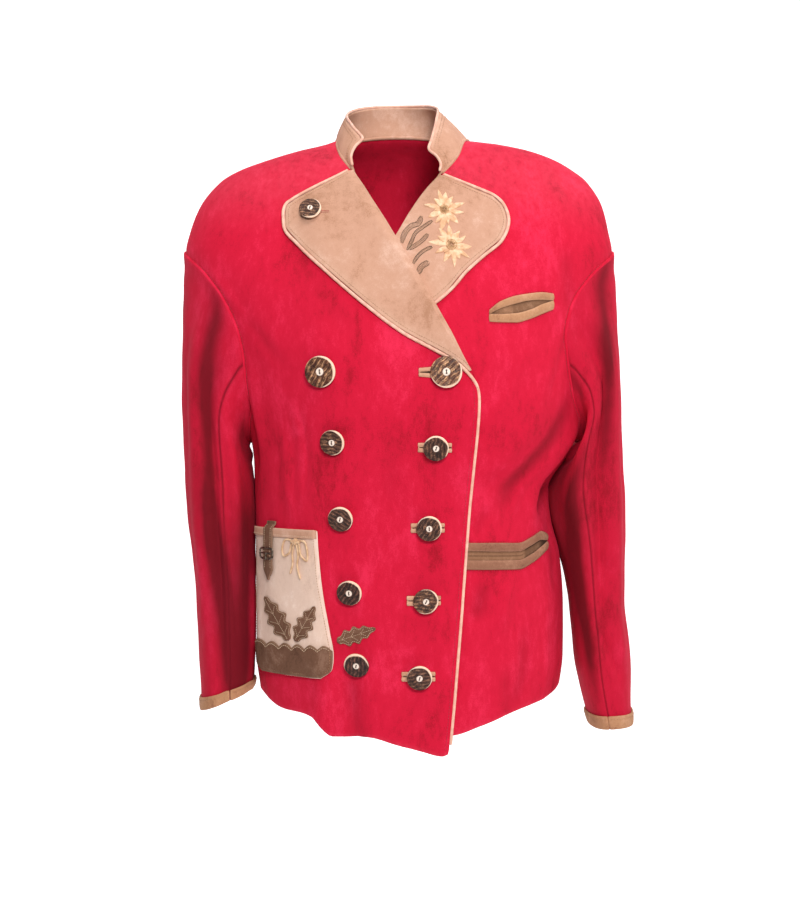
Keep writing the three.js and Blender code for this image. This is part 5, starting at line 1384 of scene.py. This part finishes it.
aged_metal, tree, shader = new_material("aged_metal")
patina = noise(tree, node(tree, "TexCoord").outputs["Object"], 500, 4)
feed(tree, shader, {
    "Base Color": ramp(tree, patina, [(0.35, "4a4038"), (0.7, "9a8c7c")]), "Metallic": 0.9,
    "Roughness": 0.38, "Normal": bump(tree, 0.3, 0.0002, patina),
})
turn = np.linspace(0, 2 * np.pi, 97)[:-1]
frame_x, frame_z = 7.2 * bend(np.cos(turn), 4.5), 6.0 * bend(np.sin(turn), 4.5)
line, out = on_line(on_right, STRAP_X + frame_x, BUCKLE_Z + frame_z, 9.4)
ahead = unit(np.roll(line, -1, 0) - np.roll(line, 1, 0))
side = unit(np.cross(ahead, out))
around = np.linspace(0, 2 * np.pi, 16, endpoint=False)[None, :, None]
circle = 1.25 * np.cos(around) * side[:, None] + np.sin(around) * unit(out)[:, None]
faces = grid_faces(97, 16, wrap=True) % (96 * 16)
piece("strap_buckle", line[:, None] + circle, faces, aged_metal, "patch_buckle")
way = np.linspace(0, 1, 14)
line, out = on_line(on_right, STRAP_X - 7.2 + 14.4 * way, BUCKLE_Z + 0 * way, 9.0)
tube("buckle_bar", line, out, 0.9, aged_metal)
line, out = on_line(on_right, STRAP_X + 0 * way, BUCKLE_Z + 0.3 - 7.7 * way, 9.6 + way)
tube("buckle_prong", line, out, 0.8, aged_metal)

# ---- Lace ----
# A round lace of pale leather tied in a bow at the pocket's mouth: two loops and two free ends.
LACE_X, LACE_Z, LACE_RADIUS = -108, -459, 1.2
LACE_ROUTES = {
    "loop_left": [
        (-5.1, 1.5, 1.2), (-11, 2, 1.1), (-15, -5, 1), (-13, -17, 1), (-8, -14, 1), (-4.4, -2.6, 1.2),
    ],
    "loop_right": [(5.1, 1.5, 1.2), (10, 1, 1.1), (14, -8, 1), (13, -21, 1), (8, -17, 1), (4.4, -2.6, 1.2)],
    "end_left": [(-1.6, -3.3, 1.2), (-3.5, -14, 1), (-3, -25, 1), (-6, -36, 1)],
    "end_right": [(1.6, -3.3, 1.2), (3.5, -15, 1), (2.5, -27, 1), (6, -41, 1)],
}
lace_leather = fibre("lace_leather", "c49a74", "e2bf9a", 0.6, 5.0)
for letter, aside in (("a", -0.9), ("b", 0.9)):
    arc = np.linspace(-0.55, np.pi + 0.55, 24)
    x, z = LACE_X + aside + 0.9 * np.cos(arc), LACE_Z + 3.0 * np.cos(arc)
    line, out = on_line(on_right, x, z, ON_PATCH + 1.2 + 2.6 * np.sin(arc))
    tube(f"lace_knot_wrap_{letter}", line, out, 1.15, lace_leather)
x, z = LACE_X + np.linspace(-4.4, 4.4, 12), np.full(12, LACE_Z)
line, out = on_line(on_right, x, z, ON_PATCH + 1.6)
thick = 1.9 + 0.4 * np.cos(np.linspace(-1.4, 1.4, 12))
tube("lace_knot_heart", line, out, thick, lace_leather, 12, "lace_knot")
for key, route in LACE_ROUTES.items():
    x, z, lift = smooth_path(route, 0.8).T
    line, out = on_line(on_right, LACE_X + x, LACE_Z + z, ON_PATCH + lift)
    name = f"lace_{key}_leather"
    lace = tube(name, line, out, LACE_RADIUS, lace_leather, 12, f"lace_{key}")
    if key.startswith("end"):
        long, wide, path = run_length(line)[-1] * MM, 2 * LACE_RADIUS * MM, line * MM

# ---- Leaves ----
# Oak leaves of brown suede, two on the pocket and one beside it, with stitched veins.
# Each leaf's foot x and z, heading, length, half width and lift, and what it is sewn on.
LEAVES = [
    (-116, -571, 122, 54, 12, 4.4, "patch_pocket_sheet"),
    (-108, -571, 60, 46, 10.5, 4.4, "patch_pocket_sheet"),
    (-62, -569, 20, 44, 9.5, 0.3, "right_front"),
]


def leaf_width(along):
    """Half the leaf's width: a pointed oval with four lobes on each side."""
    return np.sin(np.pi * along**0.8) ** 0.8 * (0.8 + 0.2 * np.cos(8 * np.pi * along)) + 0.06


def on_leaf(leaf, along, aside, rise):
    """A place on a leaf: along it from the foot and aside of its rib, as parts of its size."""
    foot_x, foot_z, heading, long, half, lift, _ = leaf
    x, z = turned(along * long, aside * half * leaf_width(along), -heading)
    return on_right(foot_x + x, foot_z + z, lift + rise)


for number, leaf in enumerate(LEAVES, 1):
    along, aside = np.linspace(0, 1, 110)[:, None], np.linspace(-1, 1, 25)[None]
    dish = 0.5 * (1 - np.abs(aside)) - 0.25 * bell(aside, 0.08) + 0.12 * np.sin(along * 25)
    cloth(
        f"oak_leaf_{number}", f"leaf_{number}", "leather_brown", on_leaf(leaf, along, aside, 1.3 + dish),
        on_leaf(leaf, along, aside, 0.1), brown, 0.4, 0.4 * bell(1 - np.abs(aside), 0.1),
        held="laid", rests_on=[leaf[-1]],
    )
    way = np.linspace(0, 1, 60)
    veins = [(0.03 + 0.93 * way, 0 * way)]
    for start in (0.12, 0.36, 0.6):
        for side in (-1, 1):
            veins.append((start + 0.16 * way[::3], side * 0.72 * way[::3]))
    for side in (-1, 1):
        veins.append((0.04 + 0.92 * way, side * 0.86 + 0 * way))
    rows = []
    for along, aside in veins:
        low, high = (on_leaf(leaf, along, aside, rise) for rise in (2, 3))
        rows.append((on_leaf(leaf, along, aside, 1.4 + 0.5 * (1 - np.abs(aside))), high - low))
    stitches(f"leaf_stitches_{number}", rows, pale_thread, 2.2, 1.7, 0.24)

# ---- Embroidery ----
# Two edelweiss flowers on the left lapel, worked in silk: pointed petals in raised satin stitch
# round knotted hearts, and stems and long leaves crossed by slanting rungs.
silk = fibre("cream_silk", "d2a078", "ecc8a4", 0.5, 7.0)
straw_silk = fibre("straw_silk", "b08456", "d8b080", 0.55, 1.5)
olive_silk = fibre("olive_silk", "4a3c26", "745f40", 0.55, 1.5)


def lapel_spot(x, z, rise):
    """A place on the left lapel's face."""
    return on_left(x, z, lapel_lift(LEFT_LAPEL, x, z) + rise)


def petals(name, flowers):
    """Raised pointed petals in one piece. A petal is a grid whose half width is
    sin(pi a^0.75)^0.8 and whose height over the lapel is a half round across it."""
    solid, faces, uv = [], [], []
    count, wide = 26, 9
    size = count * wide
    ring, _ = border(count, wide)
    top = grid_faces(count, wide)
    belt = np.stack([ring, np.roll(ring, -1), np.roll(ring, -1) + size, ring + size], -1)
    block = np.concatenate([top[:, ::-1], top + size, belt])
    a = np.linspace(0, 1, count)[:, None]
    b = np.linspace(-1, 1, wide)[None]
    for number, (centre_x, centre_z, heading, long, half, begin, base) in enumerate(flowers):
        reach = begin + a * (long - begin)
        width = half * (np.sin(np.pi * a**0.75) ** 0.8 + 0.08)
        bow = 0.9 * np.sin(np.pi * a) * np.sin(heading * 1.7)
        x, z = turned(reach, b * width + bow, -np.degrees(heading))
        rise = (0.75 + 0.35 * np.sin(np.pi * a)) * np.sqrt(np.clip(1 - b**2, 0, 1))
        rise = base + rise - 0.3 * (np.abs(b) < 0.01)
        for lift in (rise, np.full(rise.shape, -0.3)):
            solid.append(lapel_spot(centre_x + x, centre_z + z, lift).reshape(-1, 3))
        faces.append(block + number * 2 * size)
        square = np.stack([b * width / 10, reach * 0.02 + 0 * b], -1).reshape(-1, 2)
        uv.append(np.tile(square, (2, 1)))
    made = piece(name, np.concatenate(solid), np.concatenate(faces), silk)
    set_uv(made, np.concatenate(uv))


outer_petals, inner_petals = [], []
for x, z, first_turn, reach in ((56.0, -86.9, 0.35, 1.0), (63.5, -127.4, 1.05, 1.08)):
    for k in range(12):
        heading = first_turn + k * np.pi / 6 + 0.13 * np.sin(k * 5.1 + first_turn * 9)
        long = reach * (20.5 + 3.8 * np.sin(k * 2.4 + first_turn * 4))
        outer_petals.append((x, z, heading, long, 3.0 + 0.6 * np.sin(k * 3.3), 5.0, 0.1 + 0.3 * (k % 2)))
    for k in range(10):
        heading = first_turn + 0.3 + k * np.pi / 5 + 0.1 * np.sin(k * 3.7)
        inner_petals.append((x, z, heading, reach * (12.5 + 1.8 * np.sin(k * 4.1)), 2.2, 3.0, 0.8))
petals("edelweiss_outer_petals", outer_petals)
petals("edelweiss_inner_petals", inner_petals)
rows = []
for x, z, wide in ((56.0, -86.9, 4.2), (63.5, -127.4, 5.0)):
    for ring_radius, knots in ((0.6, 3), (wide * 0.5, 8), (wide * 0.8, 12), (wide * 1.15, 17)):
        turn = np.linspace(0, 2 * np.pi, knots * 6 + 1)
        spot_x, spot_z = x + ring_radius * np.cos(turn), z + ring_radius * np.sin(turn)
        rows.append(on_line(lapel_spot, spot_x, spot_z, 1.5))
stitches("edelweiss_hearts", rows, straw_silk, 1.7, 1.6, 0.75)

STEMS = [
    ([(8.1, -125.6), (10.6, -115.3), (18.7, -105.9), (26.7, -102.8), (30.2, -93.9)], 2.6),
    ([(13.6, -133.8), (18.7, -123.5), (23.6, -113.3), (31.7, -107.0), (43.1, -99.1)], 1.7),
    ([(15.6, -132.8), (23.6, -127.6), (30.6, -122.5), (37.6, -114.3)], 2.1),
    ([(20.5, -149.2), (24.5, -142.1), (31.6, -134.8), (42.6, -129.1)], 1.7),
    ([(26.5, -160.3), (29.4, -152.8), (38.3, -147.1)], 2.9),
]
edges, rungs = [], []
for points, half in STEMS:
    spine = smooth_path(points, 0.7)
    part = np.linspace(0, 1, len(spine))
    half = half * np.clip(np.minimum(part / 0.25 + 0.35, (1 - part) / 0.12 + 0.15), 0, 1)
    run = unit(np.gradient(spine, axis=0))
    away = np.stack([-run[:, 1], run[:, 0]], -1) * half[:, None]
    for side in (-1, 1):
        edges.append(on_line(lapel_spot, *(spine + side * away).T, 0.25))
    for k in range(1, len(spine) - 2, 2):
        across = np.linspace(-0.85, 0.85, 5)[:, None]
        rungs.append(on_line(lapel_spot, *(spine[k] + away[k] * across + run[k] * across * 0.5).T, 0.15))
stitches("stem_edge_stitches", edges, olive_silk, 1.9, 1.85, 0.42)
rungs = [(line, out) for line, out in rungs if np.linalg.norm(line[-1] - line[0]) > 1.0]
stitches("stem_rungs", rungs, olive_silk, 1.0, 0.98, 0.3)
